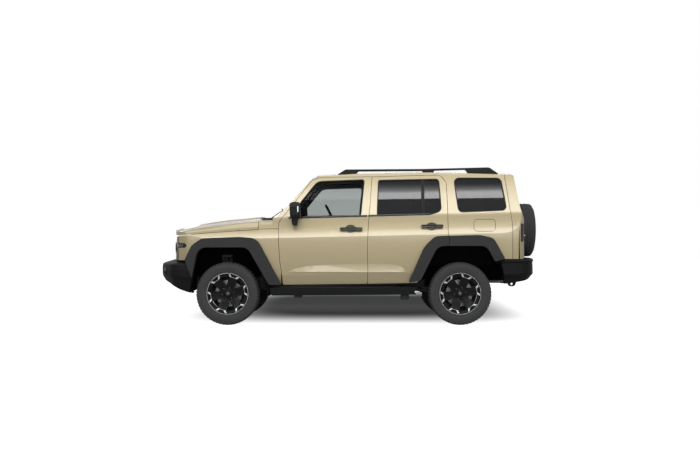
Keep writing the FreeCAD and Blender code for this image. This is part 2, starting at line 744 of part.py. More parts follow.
def side_glass(outer, windows):
    """Side panes set a little in from the skin."""
    layer = outer.translated(V(0, -GLASS_INSET, 0)).cut(outer.translated(V(0, -GLASS_INSET - GLASS, 0)))
    panes = [layer.common(side_prism(window, 500.0, 1000.0)) for window in windows]
    return Part.makeCompound([largest_of(pane) for pane in panes])


def build_windscreen(outer):
    """The windscreen, following the cab's bow."""
    layer = outer.translated(screen_normal(GLASS)).cut(outer.translated(screen_normal(2 * GLASS)))
    pane = layer.common(front_prism(screen_outline(0.0), 300.0, 1000.0))
    return largest_of(pane)


def build_tailgate(outer):
    """The full-width tailgate that carries the spare, with its window cut."""
    cabin = raked_prism(cabin_half(), -2200.0, 1100.0)
    cabin = cabin.common(side_prism(inner_profile(), -900.0, 900.0))
    gate = outer.common(side_prism(shut_side(tail_region(), SHUT_GAP), -1100.0, 1100.0)).cut(cabin)
    cuts = [front_prism(tail_window_outline(SEAT_GAP), -2300.0, -1800.0)]
    lamp = tail_lamp_volume(SEAT_GAP)
    cuts += [lamp, mirror(lamp)]
    gate = gate.cut(cuts)
    return largest_of(gate)


def tail_lamp_volume(grow):
    """The tail lamp's pocket at the left rear corner."""
    outline = offset_outline([(716.0, 985.0, 30.0), (716.0, 1205.0, 30.0), (850.0, 1205.0, 30.0),
                              (850.0, 985.0, 30.0)], grow)
    return front_prism(outline, TAIL_X + 45.0 + grow, TAIL_X - 60.0)


def build_tail_glass(outer):
    """The tailgate's window."""
    layer = outer.translated(V(GLASS, 0, 0)).cut(outer.translated(V(2 * GLASS, 0, 0)))
    pane = layer.common(front_prism(tail_window_outline(0.0), -2300.0, -1800.0))
    return largest_of(pane)


def build_flare(opening, outline, axle_x, wing, keep):
    """A wheel arch flare, seated on the skin, with a lip into the arch."""
    ring = side_prism(arch_outline(outline, axle_x), FLARE_INNER_HALF, FLARE_HALF)
    ring = ring.cut(side_prism(arch_outline(opening, axle_x), 700.0, 1000.0))
    ring = ring.cut(wing)
    return ring.common(keep)


def bumper_inner_x(end_x, sign, plan_radius, half):
    """Where the bumper's inner face stands at a half width."""
    inner = plan_radius - BUMPER_DEPTH
    return end_x - sign * (plan_radius - math.sqrt(inner * inner - half * half))


def bumper_band(profile, end_x, sign, plan_radius, corner_radius, half, side_x):
    """A bumper swept round the front or rear: a wide arc, tight corners and short sides.

    The profile gives (distance ahead of the plan curve, height, radius).
    """
    centre = V(end_x - sign * plan_radius, 0, 0)
    reach = half - corner_radius
    angle = math.asin(reach / (plan_radius - corner_radius))
    corner_centre = V(centre.x + sign * (plan_radius - corner_radius) * math.cos(angle), reach, 0)

    def section(origin, turn, radius):
        direction = V(sign * math.cos(turn), math.sin(turn), 0)
        return rounded_wire(profile, lambda p: origin + direction * (radius + p.x) + V(0, 0, p.y))

    face = Part.Face(section(centre, -angle, plan_radius))
    middle = face.revolve(centre, V(0, 0, 1), sign * math.degrees(2 * angle))
    start = Part.Face(section(corner_centre, angle, corner_radius))
    swing = math.pi / 2 - angle
    corner = start.revolve(corner_centre, V(0, 0, 1), sign * math.degrees(swing))
    end = Part.Face(section(corner_centre, math.pi / 2, corner_radius))
    side = end.extrude(V(side_x - corner_centre.x, 0, 0))
    pieces = [middle, corner, side, mirror(corner), mirror(side)]
    return fuse(pieces)


def build_front_bumper():
    """Front bumper: swept blade with a step under the grille and an upswept chin."""
    profile = [
        (-BUMPER_DEPTH, 762.0, 0.0), (-40.0, 732.0, 20.0), (-6.0, 716.0, 14.0), (0.0, 655.0, 30.0),
        (-4.0, 572.0, 30.0), (-30.0, 528.0, 20.0), (-62.0, 380.0, 0.0), (-BUMPER_DEPTH, 380.0, 0.0),
    ]
    band = bumper_band(profile, FRONT_END_X, 1.0, BUMPER_PLAN_RADIUS, BUMPER_CORNER_RADIUS, BUMPER_HALF, 1700.0)
    chin = side_prism([(2400.0, 550.0, 0.0), (2240.0, 520.0, 0.0), (2140.0, 493.0, 60.0), (1984.0, 418.0, 0.0),
                       (1893.0, 387.0, 0.0), (1700.0, 360.0, 0.0), (1700.0, 200.0, 0.0), (2400.0, 200.0, 0.0)],
                      -1100.0, 1100.0)
    arch = side_prism(arch_outline(ARCH_FRONT_OPENING, FRONT_AXLE_X), 400.0, 1100.0)
    rear_trim = block(1500.0, 1838.0, -1100.0, 1100.0, 300.0, 900.0)
    flare = side_prism(arch_outline(ARCH_FRONT_FLARE, FRONT_AXLE_X, SEAT_GAP), 700.0, 1100.0)
    bumper = band.cut([chin, arch, mirror(arch), flare, mirror(flare), rear_trim])
    return largest_of(bumper)


def build_rear_bumper():
    """Rear bumper: a deep step with a flat top."""
    top = REAR_BUMPER_TOP_Z
    profile = [
        (-BUMPER_DEPTH, top - 8.0, 0.0), (-18.0, top, 10.0), (0.0, top - 21.0, 8.0), (-14.0, top - 40.0, 6.0),
        (-8.0, 600.0, 20.0), (-50.0, 552.0, 30.0), (-80.0, 480.0, 0.0), (-BUMPER_DEPTH, 480.0, 0.0),
    ]
    band = bumper_band(profile, REAR_BUMPER_X, -1.0, REAR_BUMPER_PLAN_RADIUS, REAR_BUMPER_CORNER_RADIUS,
                       925.0, -1780.0)
    under = side_prism([(-2400.0, 610.0, 0.0), (-2240.0, 566.0, 0.0), (-2075.0, 522.0, 60.0),
                        (-1874.0, 488.0, 0.0), (-1700.0, 488.0, 0.0), (-1700.0, 300.0, 0.0),
                        (-2400.0, 300.0, 0.0)], -1100.0, 1100.0)
    rear_edge = side_prism([(-1789.0, 800.0, 0.0), (-1842.0, 560.0, 0.0), (-1842.0, 400.0, 0.0),
                            (-1600.0, 400.0, 0.0), (-1600.0, 800.0, 0.0)], -1100.0, 1100.0)
    bumper = band.cut([under, rear_edge])
    return largest_of(bumper)


def build_grille():
    """The dark panel between the wings: grille bars and round lamp holes, on the nose's plan curve."""
    nose = plan_volume()
    panel = nose.translated(V(-GRILLE_STEP, 0, 0)).cut(nose.translated(V(-GRILLE_STEP - GRILLE_DEPTH, 0, 0)))
    panel = panel.common(block(2036.0, 2300.0, -860.0, 860.0, GRILLE_BOTTOM_Z, GRILLE_TOP_Z))
    cuts = []
    for row in range(3):
        low = 806.0 + row * 74.0
        cuts.append(front_prism([(470.0, low, 12.0), (470.0, low + 52.0, 12.0), (-470.0, low + 52.0, 12.0),
                                 (-470.0, low, 12.0)], 2000.0, 2300.0))
    for side in (1, -1):
        cuts.append(rod((1980.0, side * LAMP_HALF, LAMP_Z), (2300.0, side * LAMP_HALF, LAMP_Z),
                        LAMP_RADIUS + SEAT_GAP))
    panel = largest_of(panel.cut(cuts))
    legs = []
    for side in (1, -1):
        y_in, y_out = sorted((side * 320.0, side * 350.0))
        legs.append(block(FRONT_BEAM_X + 10.0, FRONT_BEAM_X + 34.0, y_in, y_out, FRONT_BEAM_TOP_Z + SEAT_GAP,
                          GRILLE_BOTTOM_Z + 20.0))
    return fuse([panel] + legs)


def build_headlamps():
    """Round headlamps in the grille panel, and the marker lamps in the wings."""
    bowl = lathe([(2028.0, 0.0, 0.0), (2028.0, 60.0, 20.0), (2050.0, LAMP_RADIUS, 10.0),
                  (2094.0, LAMP_RADIUS, 14.0), (2104.0, 40.0, 60.0), (2106.0, 0.0, 0.0)],
                 V(0.0, LAMP_HALF, LAMP_Z), V(1, 0, 0))
    side = raked_prism(SKIN, 700.0, 2250.0).common(plan_volume())
    inset = offset_outline([(float(x), float(z), float(r)) for x, z, r in LAMP_SLOT], -SEAT_GAP)
    marker = side.common(side_prism(inset, FENDER_INNER_HALF, 1000.0))
    marker = marker.cut(block(2036.0, 2300.0, 0.0, 864.0, 0.0, 2000.0))
    return Part.makeCompound([bowl, mirror(bowl), marker, mirror(marker)])


def build_tyre(x, y):
    """A tyre with a square-shouldered tread, its bead seats on the rim and its inside hollow."""
    half = TYRE_WIDTH / 2
    bead = RIM_WIDTH / 2 - 6.0 - SEAT_GAP
    seat = SEAT_RADIUS + SEAT_GAP
    over = SEAT_RADIUS + RIM_FLANGE + 1.0
    profile = [
        (-bead, seat, 0.0), (-bead - 1.9, over, 0.0), (-half, 300.0, 40.0),
        (-half + 8.0, TYRE_RADIUS - 22.0, 12.0), (-half + 26.0, TYRE_RADIUS, 8.0),
        (half - 26.0, TYRE_RADIUS, 8.0), (half - 8.0, TYRE_RADIUS - 22.0, 12.0), (half, 300.0, 40.0),
        (bead + 1.9, over, 0.0), (bead, seat, 0.0), (bead - 22.0, seat, 0.0),
        (bead - 18.0, seat + 22.0, 8.0), (half - 18.0, 300.0, 30.0), (half - 34.0, TYRE_RADIUS - 22.0, 14.0),
        (-half + 34.0, TYRE_RADIUS - 22.0, 14.0), (-half + 18.0, 300.0, 30.0),
        (-bead + 18.0, seat + 22.0, 8.0), (-bead + 22.0, seat, 0.0),
    ]
    return lathe(profile, V(x, y, TYRE_RADIUS))


SPOKE_TURN = 40.4


def spoke_outline():
    """Face of one spoke, seen along the axle: narrow at the hub, forked to the rim at its end."""
    return [
        (-30.0, 60.0, 0.0), (-27.0, 150.0, 60.0), (-64.0, 218.0, 10.0), (-64.0, 226.0, 0.0),
        (64.0, 226.0, 0.0), (64.0, 218.0, 10.0), (27.0, 150.0, 60.0), (30.0, 60.0, 0.0),
    ]


def build_rim(x, y, bore):
    """A six-spoke wheel: barrel, spokes, hub with its bearing bore, and the brake disc on its back."""
    half = RIM_WIDTH / 2
    wall = RIM_WALL
    lip = SEAT_RADIUS + RIM_FLANGE
    inner = SEAT_RADIUS - wall
    barrel = lathe([
        (-half, lip, 3.0), (-half + 4.0, lip, 3.0), (-half + 6.0, SEAT_RADIUS, 0.0),
        (half - 6.0, SEAT_RADIUS, 0.0), (half - 4.0, lip, 3.0), (half, lip, 3.0), (half, inner, 4.0),
        (-half, inner, 4.0)], V(x, y, TYRE_RADIUS))
    face_y = y + half - 12.0
    spokes = []
    for index in range(SPOKE_COUNT):
        turn = math.radians(index * 360.0 / SPOKE_COUNT + SPOKE_TURN)
        wire = rounded_wire(spoke_outline(), lambda p: V(
            x + p.x * math.cos(turn) + p.y * math.sin(turn), face_y,
            TYRE_RADIUS - p.x * math.sin(turn) + p.y * math.cos(turn)))
        spokes.append(Part.Face(wire).extrude(V(0, -SPOKE_THICKNESS, 0)))
    trim = Part.makeCylinder(SEAT_RADIUS - 2.0, 300.0, V(x, y - 150.0, TYRE_RADIUS), V(0, 1, 0))
    spokes = [spoke.common(trim) for spoke in spokes]
    hub = rod((x, y - 52.0, TYRE_RADIUS), (x, face_y, TYRE_RADIUS), HUB_RADIUS)
    disc = rod((x, y - 52.0, TYRE_RADIUS), (x, y - 52.0 + DISC_THICKNESS, TYRE_RADIUS), DISC_RADIUS)
    wheel = fuse([barrel, hub, disc] + spokes)
    hole = rod((x, y - 70.0, TYRE_RADIUS), (x, face_y - 20.0, TYRE_RADIUS), bore)
    return wheel.cut(hole)


def build_knuckle(x):
    """The left steering knuckle: upright, ball pins, spindle, steering arm and brake caliper."""
    z = TYRE_RADIUS
    y = KINGPIN_HALF
    face = TRACK_HALF - 52.0
    upright = block(x - 38.0, x + 38.0, y - 42.0, y, z - 92.0, z + 92.0)
    lower = rod((x, y - 10.0, z - BALL_JOINT_HALF + ARM_THICKNESS / 2 + 6.0), (x, y - 10.0, z - 60.0), 21.0)
    upper = rod((x, y - 10.0, z + 60.0), (x, y - 10.0, z + BALL_JOINT_HALF - ARM_THICKNESS / 2 - 6.0), 21.0)
    pin = rod((x, y - 10.0, z - BALL_JOINT_HALF), (x, y - 10.0, z + BALL_JOINT_HALF), 9.0)
    spindle = rod((x, y - 20.0, z), (x, TRACK_HALF + 55.0, z), SPINDLE_RADIUS)
    arm = fuse([
        plan_prism([(x - 20.0, y - 34.0, 0.0), (x - STEER_ARM_BACK - 16.0, y - STEER_ARM_IN + 4.0, 14.0),
                    (x - STEER_ARM_BACK + 16.0, y - STEER_ARM_IN - 14.0, 14.0), (x + 20.0, y - 42.0, 0.0),
                    (x + 20.0, y - 8.0, 0.0), (x - 20.0, y - 8.0, 0.0)], z - 62.0, z - 38.0),
        rod((x - STEER_ARM_BACK, y - STEER_ARM_IN, z - 66.0), (x - STEER_ARM_BACK, y - STEER_ARM_IN, z - 34.0), 19.0),
    ])
    caliper = fuse([
        block(x - 180.0, x - 96.0, face - 44.0, face - SHUT_GAP, z - 10.0, z + 94.0),
        block(x - 184.0, x - 166.0, face - 44.0, face + DISC_THICKNESS + 34.0, z - 10.0, z + 84.0),
        block(x - 184.0, x - 96.0, face + DISC_THICKNESS + SHUT_GAP, face + DISC_THICKNESS + 34.0,
              z - 10.0, z + 84.0),
        block(x - 110.0, x - 30.0, y - 40.0, face - SHUT_GAP, z + 10.0, z + 60.0),
    ])
    return fuse([upright, lower, upper, pin, spindle, arm, caliper])


def build_front_suspension():
    """Double wishbones, coilovers, rack with tie rods and the half shafts, left and right."""
    x = FRONT_AXLE_X
    z = TYRE_RADIUS
    y = KINGPIN_HALF - 10.0
    side = []
    for level in (z - BALL_JOINT_HALF, z + BALL_JOINT_HALF):
        outline = [
            (x - ARM_EYE_HALF, y + ARM_EYE_OUT, 14.0), (x + ARM_EYE_HALF, y + ARM_EYE_OUT, 14.0),
            (x + ARM_SPREAD + 16.0, RAIL_HALF + 45.0, 10.0), (x + ARM_SPREAD - 24.0, RAIL_HALF + 45.0, 10.0),
            (x, y - 64.0, 20.0),
            (x - ARM_SPREAD + 24.0, RAIL_HALF + 45.0, 10.0), (x - ARM_SPREAD - 16.0, RAIL_HALF + 45.0, 10.0)]
        arm = plan_prism(outline, level - ARM_THICKNESS / 2, level + ARM_THICKNESS / 2)
        eye = rod((x, y, level - 60.0), (x, y, level + 60.0), 9.0 + SEAT_GAP)
        side.append(arm.cut(eye))
    arm_top = z - BALL_JOINT_HALF + ARM_THICKNESS / 2
    seat = block(STRUT_X - 40.0, STRUT_X + 55.0, 518.0, 586.0, arm_top, arm_top + 12.0)
    foot = (STRUT_X, 552.0, arm_top + 12.0)
    top = (STRUT_X, 500.0, STRUT_TOP_Z - 4.0)
    side[0] = fuse([side[0], seat, rod(foot, top, 20.0), spring_stack(V(*foot), V(*top), SPRING_RADIUS, 9, 10.0)])
    stub = rod((x, 180.0 + SEAT_GAP, z), (x, y - 55.0, z), 15.0)
    tie_x = x - STEER_ARM_BACK
    eye_y = KINGPIN_HALF - STEER_ARM_IN
    rack = fuse([
        rod((tie_x, 0.0, RACK_Z), (tie_x, 300.0, RACK_Z), RACK_RADIUS),
        rod((tie_x, 290.0, RACK_Z), (tie_x, eye_y, RACK_Z), 11.0),
        rod((tie_x, eye_y, RACK_Z - 14.0), (tie_x, eye_y, RACK_Z + 11.0), 16.0),
    ])
    pieces = side + [stub]
    return Part.makeCompound(pieces + [mirror(piece) for piece in pieces] + [fuse([rack, mirror(rack)])])


def spring_stack(start, end, radius, turns, wire):
    """A coil spring as a stack of rings between two points."""
    along = end - start
    rings = []
    for index in range(turns):
        spot = start + along * ((index + 0.6) / turns)
        rings.append(Part.makeCylinder(radius, wire, spot, along))
    return rings[0].fuse(rings[1:])


def build_rear_axle():
    """The solid rear axle with its differential, coil springs, dampers and trailing links."""
    x = REAR_AXLE_X
    z = TYRE_RADIUS
    tube = rod((x, -TRACK_HALF + 66.0, z), (x, TRACK_HALF - 66.0, z), AXLE_TUBE_RADIUS)
    spindles = [rod((x, side * (TRACK_HALF - 70.0), z), (x, side * (TRACK_HALF + 55.0), z), SPINDLE_RADIUS)
                for side in (1, -1)]
    pumpkin = lathe([(-120.0, 0.0, 0.0), (-120.0, 60.0, 20.0), (-60.0, 128.0, 40.0), (60.0, 128.0, 40.0),
                     (120.0, 60.0, 20.0), (120.0, 0.0, 0.0)], V(x, 0.0, z))
    nose = rod((x, 0.0, z), (x + 190.0, 0.0, z + 18.0), 52.0)
    pieces = [tube, pumpkin, nose] + spindles
    for side in (1, -1):
        seat = rod((x, side * 540.0, z + 20.0), (x, side * 540.0, z + 60.0), 62.0)
        link = rod((x, side * 560.0, z - 30.0), (-760.0, side * 492.5, z + 38.0), 22.0)
        pieces += [seat, link]
    axle = fuse(pieces)
    springs = []
    for side in (1, -1):
        foot = V(x, side * 540.0, z + 60.0)
        head = V(x, side * 540.0, REAR_FLOOR_Z - SEAT_GAP)
        core = rod((foot.x, foot.y, foot.z), (head.x, head.y, head.z), 26.0)
        springs.append(fuse([core, spring_stack(foot, head, 56.0, 6, 11.0)]))
    return fuse([axle] + springs)


def build_chassis():
    """The ladder frame's two box rails, kicked up over the rear axle, each with its recovery eye."""
    half = RAIL_WIDTH / 2
    low = RAIL_BOTTOM_Z
    high = RAIL_BOTTOM_Z + RAIL_HEIGHT
    front = bumper_inner_x(FRONT_END_X, 1.0, BUMPER_PLAN_RADIUS, RAIL_HALF + half) - SEAT_GAP
    rear = bumper_inner_x(REAR_BUMPER_X, -1.0, REAR_BUMPER_PLAN_RADIUS, RAIL_HALF + half) + SEAT_GAP
    outline = [
        (front, low + 60.0, 0.0), (front, high + 40.0, 0.0), (1750.0, high + 10.0, 200.0),
        (1000.0, high, 200.0), (-910.0, high, 150.0), (-1130.0, high + RAIL_KICK, 200.0),
        (rear, high + RAIL_KICK, 0.0), (rear, low + RAIL_KICK + 20.0, 0.0),
        (-1640.0, low + RAIL_KICK + 10.0, 200.0),
        (-1120.0, low + RAIL_KICK + 10.0, 150.0), (-860.0, low, 200.0), (1800.0, low, 200.0),
    ]
    rail = side_prism(outline, RAIL_HALF - half, RAIL_HALF + half)
    return fuse([rail, mirror(rail), recovery_eye(1), recovery_eye(-1)])


def build_frame_brackets(rails):
    """What stands on the rails: arm, strut and link brackets, step outriggers and body mounts."""
    half = RAIL_WIDTH / 2
    low = RAIL_BOTTOM_Z
    high = RAIL_BOTTOM_Z + RAIL_HEIGHT
    pieces = []
    for side in (1, -1):
        for dx in (-ARM_SPREAD, ARM_SPREAD):
            x = FRONT_AXLE_X + dx
            y_in, y_out = sorted((side * (RAIL_HALF - half), side * (RAIL_HALF + half)))
            pieces.append(block(x - 30.0, x + 30.0, y_in, y_out, TYRE_RADIUS - BALL_JOINT_HALF - 30.0, low + 5.0))
            arm_in, arm_out = sorted((side * (RAIL_HALF + half - 2.0), side * (RAIL_HALF + half + 9.5)))
            for level in (TYRE_RADIUS - BALL_JOINT_HALF, TYRE_RADIUS + BALL_JOINT_HALF):
                pieces.append(block(x - 26.0, x + 26.0, arm_in, arm_out, level - 20.0, level + 20.0))
        leg_in, leg_out = sorted((side * (RAIL_HALF - 30.0), side * (RAIL_HALF + 30.0)))
        plate_in, plate_out = sorted((side * (RAIL_HALF - 30.0), side * 545.0))
        pieces.append(block(STRUT_X - 60.0, STRUT_X + 60.0, leg_in, leg_out, high - 4.0, STRUT_TOP_Z + 14.0))
        pieces.append(block(STRUT_X - 60.0, STRUT_X + 60.0, plate_in, plate_out, STRUT_TOP_Z + SEAT_GAP,
                            STRUT_TOP_Z + 14.0))
        for x in STEP_BRACKETS_X:
            out_in, out_out = sorted((side * (RAIL_HALF + half - 2.0), side * OUTRIGGER_HALF))
            pieces.append(block(x - 30.0, x + 30.0, out_in, out_out, low + 6.0, low + 42.0))
        for x, top in ((940.0, FLOOR_Z), (150.0, FLOOR_Z), (-700.0, FLOOR_Z), (-1250.0, REAR_FLOOR_Z),
                       (-1720.0, REAR_FLOOR_Z)):
            base = high - 8.0 if x > -900.0 else high + RAIL_KICK - 8.0
            pieces.append(rod((x, side * RAIL_HALF, base), (x, side * RAIL_HALF, top - SEAT_GAP), 34.0))
        link_in, link_out = sorted((side * (RAIL_HALF + half - 2.0), side * 470.0))
        pieces.append(block(-800.0, -720.0, link_in, link_out, low - 12.0, low + 32.0))
    return fuse(pieces).cut(rails)


def build_cross_members():
    """The beams that tie the two rails, and the one that carries the steering rack."""
    low = RAIL_BOTTOM_Z
    high = RAIL_BOTTOM_Z + RAIL_HEIGHT
    inside = RAIL_HALF - RAIL_WIDTH / 2
    beams = []
    for x, z_low, z_high in ((FRONT_BEAM_X, low + 64.0, FRONT_BEAM_TOP_Z), (1632.0, low + 2.0, low + 40.0),
                             (480.0, low + 2.0, low + 24.0), (-760.0, low + 68.0, high - 3.0),
                             (REAR_BEAM_X, REAR_BEAM_BOTTOM_Z, high + RAIL_KICK - 10.0)):
        beams.append(block(x - 35.0, x + 35.0, -inside, inside, z_low, z_high))
    rack_x = FRONT_AXLE_X - STEER_ARM_BACK
    beams.append(block(rack_x - 100.0, rack_x + 18.0, -inside, inside, RACK_Z - RACK_RADIUS - 32.0,
                       RACK_Z - RACK_RADIUS - SEAT_GAP))
    return Part.makeCompound(beams)


def recovery_eye(side):
    """A plate hung from the rail's rear end, with its bore across the vehicle."""
    root = RAIL_BOTTOM_Z + RAIL_KICK + 25.0
    outline = [(EYE_X - 85.0, root, 0.0), (EYE_X - 36.0, EYE_Z - 32.0, 34.0), (EYE_X + 36.0, EYE_Z - 32.0, 34.0),
               (EYE_X + 85.0, root, 0.0)]
    y_in = side * RAIL_HALF - EYE_PLATE / 2
    plate = side_prism(outline, y_in, y_in + EYE_PLATE)
    return plate.cut(rod((EYE_X, y_in - 5.0, EYE_Z), (EYE_X, y_in + EYE_PLATE + 5.0, EYE_Z), EYE_RADIUS))


def build_powertrain():
    """Engine block, gearbox, transfer box, front differential and the two propeller shafts."""
    engine = block(1190.0, 1800.0, -230.0, 230.0, 500.0, 980.0)
    gearbox = block(560.0, 1192.0, -140.0, 140.0, 450.0, 650.0)
    transfer = block(300.0, 562.0, -250.0, 140.0, 440.0, FLOOR_Z - SHUT_GAP)
    mounts = [block(1440.0, 1560.0, -364.5, -228.0, 500.0, 520.0), block(1440.0, 1560.0, 228.0, 364.5, 500.0, 520.0)]
    rear_shaft = rod((302.0, 0.0, 500.0), (REAR_AXLE_X + 193.0, 0.0, TYRE_RADIUS + 18.0), 34.0)
    front_diff = lathe([(-180.0, 0.0, 0.0), (-180.0, 50.0, 20.0), (-60.0, 112.0, 30.0), (80.0, 112.0, 30.0),
                        (180.0, 40.0, 10.0), (180.0, 0.0, 0.0)], V(FRONT_AXLE_X, 0.0, TYRE_RADIUS))
    neck = block(FRONT_AXLE_X - 60.0, FRONT_AXLE_X + 60.0, -60.0, 60.0, TYRE_RADIUS + 60.0, 502.0)
    front_shaft = rod((FRONT_AXLE_X - 60.0, -60.0, TYRE_RADIUS + 20.0), (556.0, -200.0, 470.0), 26.0)
    return fuse([engine, gearbox, transfer, front_diff, neck, front_shaft, rear_shaft] + mounts)


def build_exhaust():
    """Exhaust pipe, silencer and tail pipe along the right rail."""
    spots = [(1250.0, -300.0, 520.0), (1100.0, -310.0, 455.0), (380.0, -315.0, 455.0), (-380.0, -240.0, 420.0)]
    pieces = []
    for start, end in zip(spots, spots[1:]):
        pieces += [rod(start, end, 27.0), Part.makeSphere(27.0, V(*end))]
    pieces.append(block(-860.0, -370.0, -340.0, -130.0, 350.0, 460.0))
    tail = [(-850.0, -290.0, 440.0), (-1120.0, -300.0, 530.0), (-1500.0, -300.0, 530.0), (-1760.0, -300.0, 470.0),
            (-2080.0, -300.0, 470.0)]
    for start, end in zip(tail, tail[1:]):
        pieces += [rod(start, end, 27.0), Part.makeSphere(27.0, V(*end))]
    pieces.append(rod((REAR_BEAM_X, -300.0, 470.0), (REAR_BEAM_X, -300.0, REAR_BEAM_BOTTOM_Z - SEAT_GAP), 8.0))
    return fuse(pieces)


def build_fuel_tank():
    """The fuel tank between the rails, left of the propeller shaft."""
    outline = [(-120.0, 70.0, 40.0), (-120.0, 355.0, 40.0), (-700.0, 355.0, 40.0), (-700.0, 70.0, 40.0)]
    return plan_prism(outline, 340.0, FLOOR_Z - SEAT_GAP)


def build_liners():
    """Front inner wings: the arch roof over each front wheel and the wall beside the engine."""
    roof_out = arch_outline(ARCH_FRONT_OPENING, FRONT_AXLE_X, ARCH_LIP)
    roof_in = arch_outline(ARCH_FRONT_OPENING, FRONT_AXLE_X, ARCH_LIP - 8.0)
    band = side_prism(roof_out, 452.0, FENDER_INNER_HALF - SEAT_GAP)
    band = band.cut(side_prism(roof_in, 400.0, 1000.0))
    wall = side_prism(roof_out, 444.0, 452.0).cut(block(0.0, 3000.0, 400.0, 500.0, 0.0, 560.0))
    liner = band.fuse(wall)
    liner = liner.cut([block(STRUT_X - 66.0, STRUT_X + 66.0, 380.0, 560.0, 0.0, STRUT_TOP_Z + 32.0),
                       block(0.0, FIREWALL_X + 4.0, 300.0, 1000.0, 0.0, 3000.0),
                       block(1836.0, 3000.0, 300.0, 1000.0, 0.0, 3000.0)])
    buffer = block(1300.0, 1340.0, 770.0, 810.0, 925.0, 1300.0).common(hood_volume(HOOD_THICKNESS + SEAT_GAP))
    return both_sides(fuse([largest_of(liner), buffer]))


def build_steps():
    """Side steps on the sills, each on its two brackets."""
    outline = [(930.0, STEP_TOP_Z - 4.0, 14.0), (916.0, STEP_BOTTOM_Z + 8.0, 24.0), (-850.0, STEP_BOTTOM_Z + 20.0, 24.0),
               (-866.0, STEP_TOP_Z + 6.0, 14.0)]
    bar = side_prism(outline, STEP_HALF - STEP_WIDTH, STEP_HALF)
    bar = bar.cut(side_prism(arch_outline(ARCH_REAR_OPENING, REAR_AXLE_X, 0.0), 700.0, 1000.0))
    brackets = [block(x - 25.0, x + 25.0, OUTRIGGER_HALF + SEAT_GAP, STEP_HALF - STEP_WIDTH + 4.0,
                      RAIL_BOTTOM_Z + 2.0, RAIL_BOTTOM_Z + 38.0) for x in STEP_BRACKETS_X]
    return both_sides(fuse([bar] + brackets))


def build_roof_rails():
    """Roof rails with their solid feet."""
    outline = [
        (152.0, 1784.0, 4.0), (40.0, 1855.0, 40.0), (-905.0, 1861.0, 300.0), (-1690.0, 1881.0, 60.0),
        (-1812.0, 1798.0, 4.0), (-1440.0, 1806.0, 6.0), (-1400.0, 1850.0, 20.0), (-1030.0, 1840.0, 20.0),
        (-1010.0, 1808.0, 4.0), (-905.0, 1808.0, 4.0), (-885.0, 1836.0, 20.0), (-120.0, 1830.0, 20.0),
        (-78.0, 1792.0, 4.0),
    ]
    return side_prism(outline, ROOF_RAIL_HALF - 20.0, ROOF_RAIL_HALF + 22.0)


def build_spare():
    """The spare wheel in its cover, on its bracket."""
    start = SPARE_FRONT_X
    cover = lathe([
        (start, 0.0, 0.0), (start, SPARE_RADIUS - 30.0, 26.0), (start - 34.0, SPARE_RADIUS, 40.0),
        (start - 170.0, SPARE_RADIUS - 4.0, 60.0), (REAR_END_X + 4.0, SPARE_RADIUS - 80.0, 60.0),
        (REAR_END_X, 0.0, 0.0)], V(0.0, 0.0, SPARE_Z), V(1, 0, 0))
    bracket = rod((start - 5.0, 0.0, SPARE_Z), (TAIL_X - TAIL_BOW - SEAT_GAP, 0.0, SPARE_Z), SPARE_BRACKET_RADIUS)
    return fuse([cover, bracket])


def build_mirror():
    """The left door mirror: housing and foot, with its stalk seated on the door skin."""
    housing = side_prism([(682.0, 1260.0, 30.0), (694.0, 1440.0, 34.0), (640.0, 1456.0, 40.0), (575.0, 1450.0, 22.0),
                          (566.0, 1262.0, 20.0), (600.0, 1250.0, 10.0)], 940.0, 1100.0)
    shape = front_prism([(932.0, 1262.0, 20.0), (948.0, 1240.0, 16.0), (1060.0, 1252.0, 30.0), (1092.0, 1300.0, 40.0),
                         (1086.0, 1420.0, 50.0), (1030.0, 1456.0, 40.0), (950.0, 1446.0, 30.0)], 500.0, 760.0)
    housing = housing.common(shape)
    foot = side_prism([(676.0, 1266.0, 0.0), (664.0, 1180.0, 16.0), (608.0, 1168.0, 16.0), (596.0, 1266.0, 0.0)],
                      870.0, 985.0)
    return housing.fuse(foot)


def build_dashboard():
    """The dashboard across the cabin, with the steering column."""
    rear = FIREWALL_X - FIREWALL_WALL - SEAT_GAP
    outline = [(rear, 1000.0, 0.0), (rear, 1130.0, 0.0), (900.0, 1174.0, 20.0), (640.0, 1196.0, 40.0),
               (560.0, 1150.0, 40.0), (560.0, 1040.0, 30.0), (640.0, 980.0, 30.0), (720.0, 840.0, 60.0),
               (840.0, 830.0, 0.0), (860.0, 1000.0, 0.0)]
    body = side_prism(outline, -710.0, 710.0)
    base = TUNNEL_TOP_Z + SEAT_GAP
    console = side_prism([(860.0, base, 0.0), (860.0, 1020.0, 0.0), (640.0, 1020.0, 60.0), (430.0, 850.0, 80.0),
                          (340.0, 800.0, 40.0), (TUNNEL_REAR_X, 800.0, 20.0), (TUNNEL_REAR_X, base, 0.0)],
                         -120.0, 120.0)
    return body.fuse(console)


def build_steering_wheel():
    """Steering wheel, its hub and the column into the dashboard."""
    tilt = math.radians(STEER_WHEEL_TILT)
    centre = V(198.0, SEAT_HALF, 1266.0)
    axis = V(math.cos(tilt), 0, -math.sin(tilt))
    rim = Part.makeTorus(STEER_WHEEL_RADIUS, 15.0, centre, axis)
    hub = Part.makeCylinder(62.0, 44.0, centre - axis * 10.0, axis)
    spokes = []
    for angle in (90.0, 210.0, 330.0):
        turn = math.radians(angle)
        across = V(0, 1, 0)
        up = axis.cross(across)
        direction = across * math.cos(turn) + up * math.sin(turn)
        spokes.append(Part.makeCylinder(11.0, STEER_WHEEL_RADIUS, centre, direction))
    column = Part.makeCylinder(30.0, 370.0, centre + axis * 20.0, axis)
    return fuse([rim, hub] + spokes + [column])


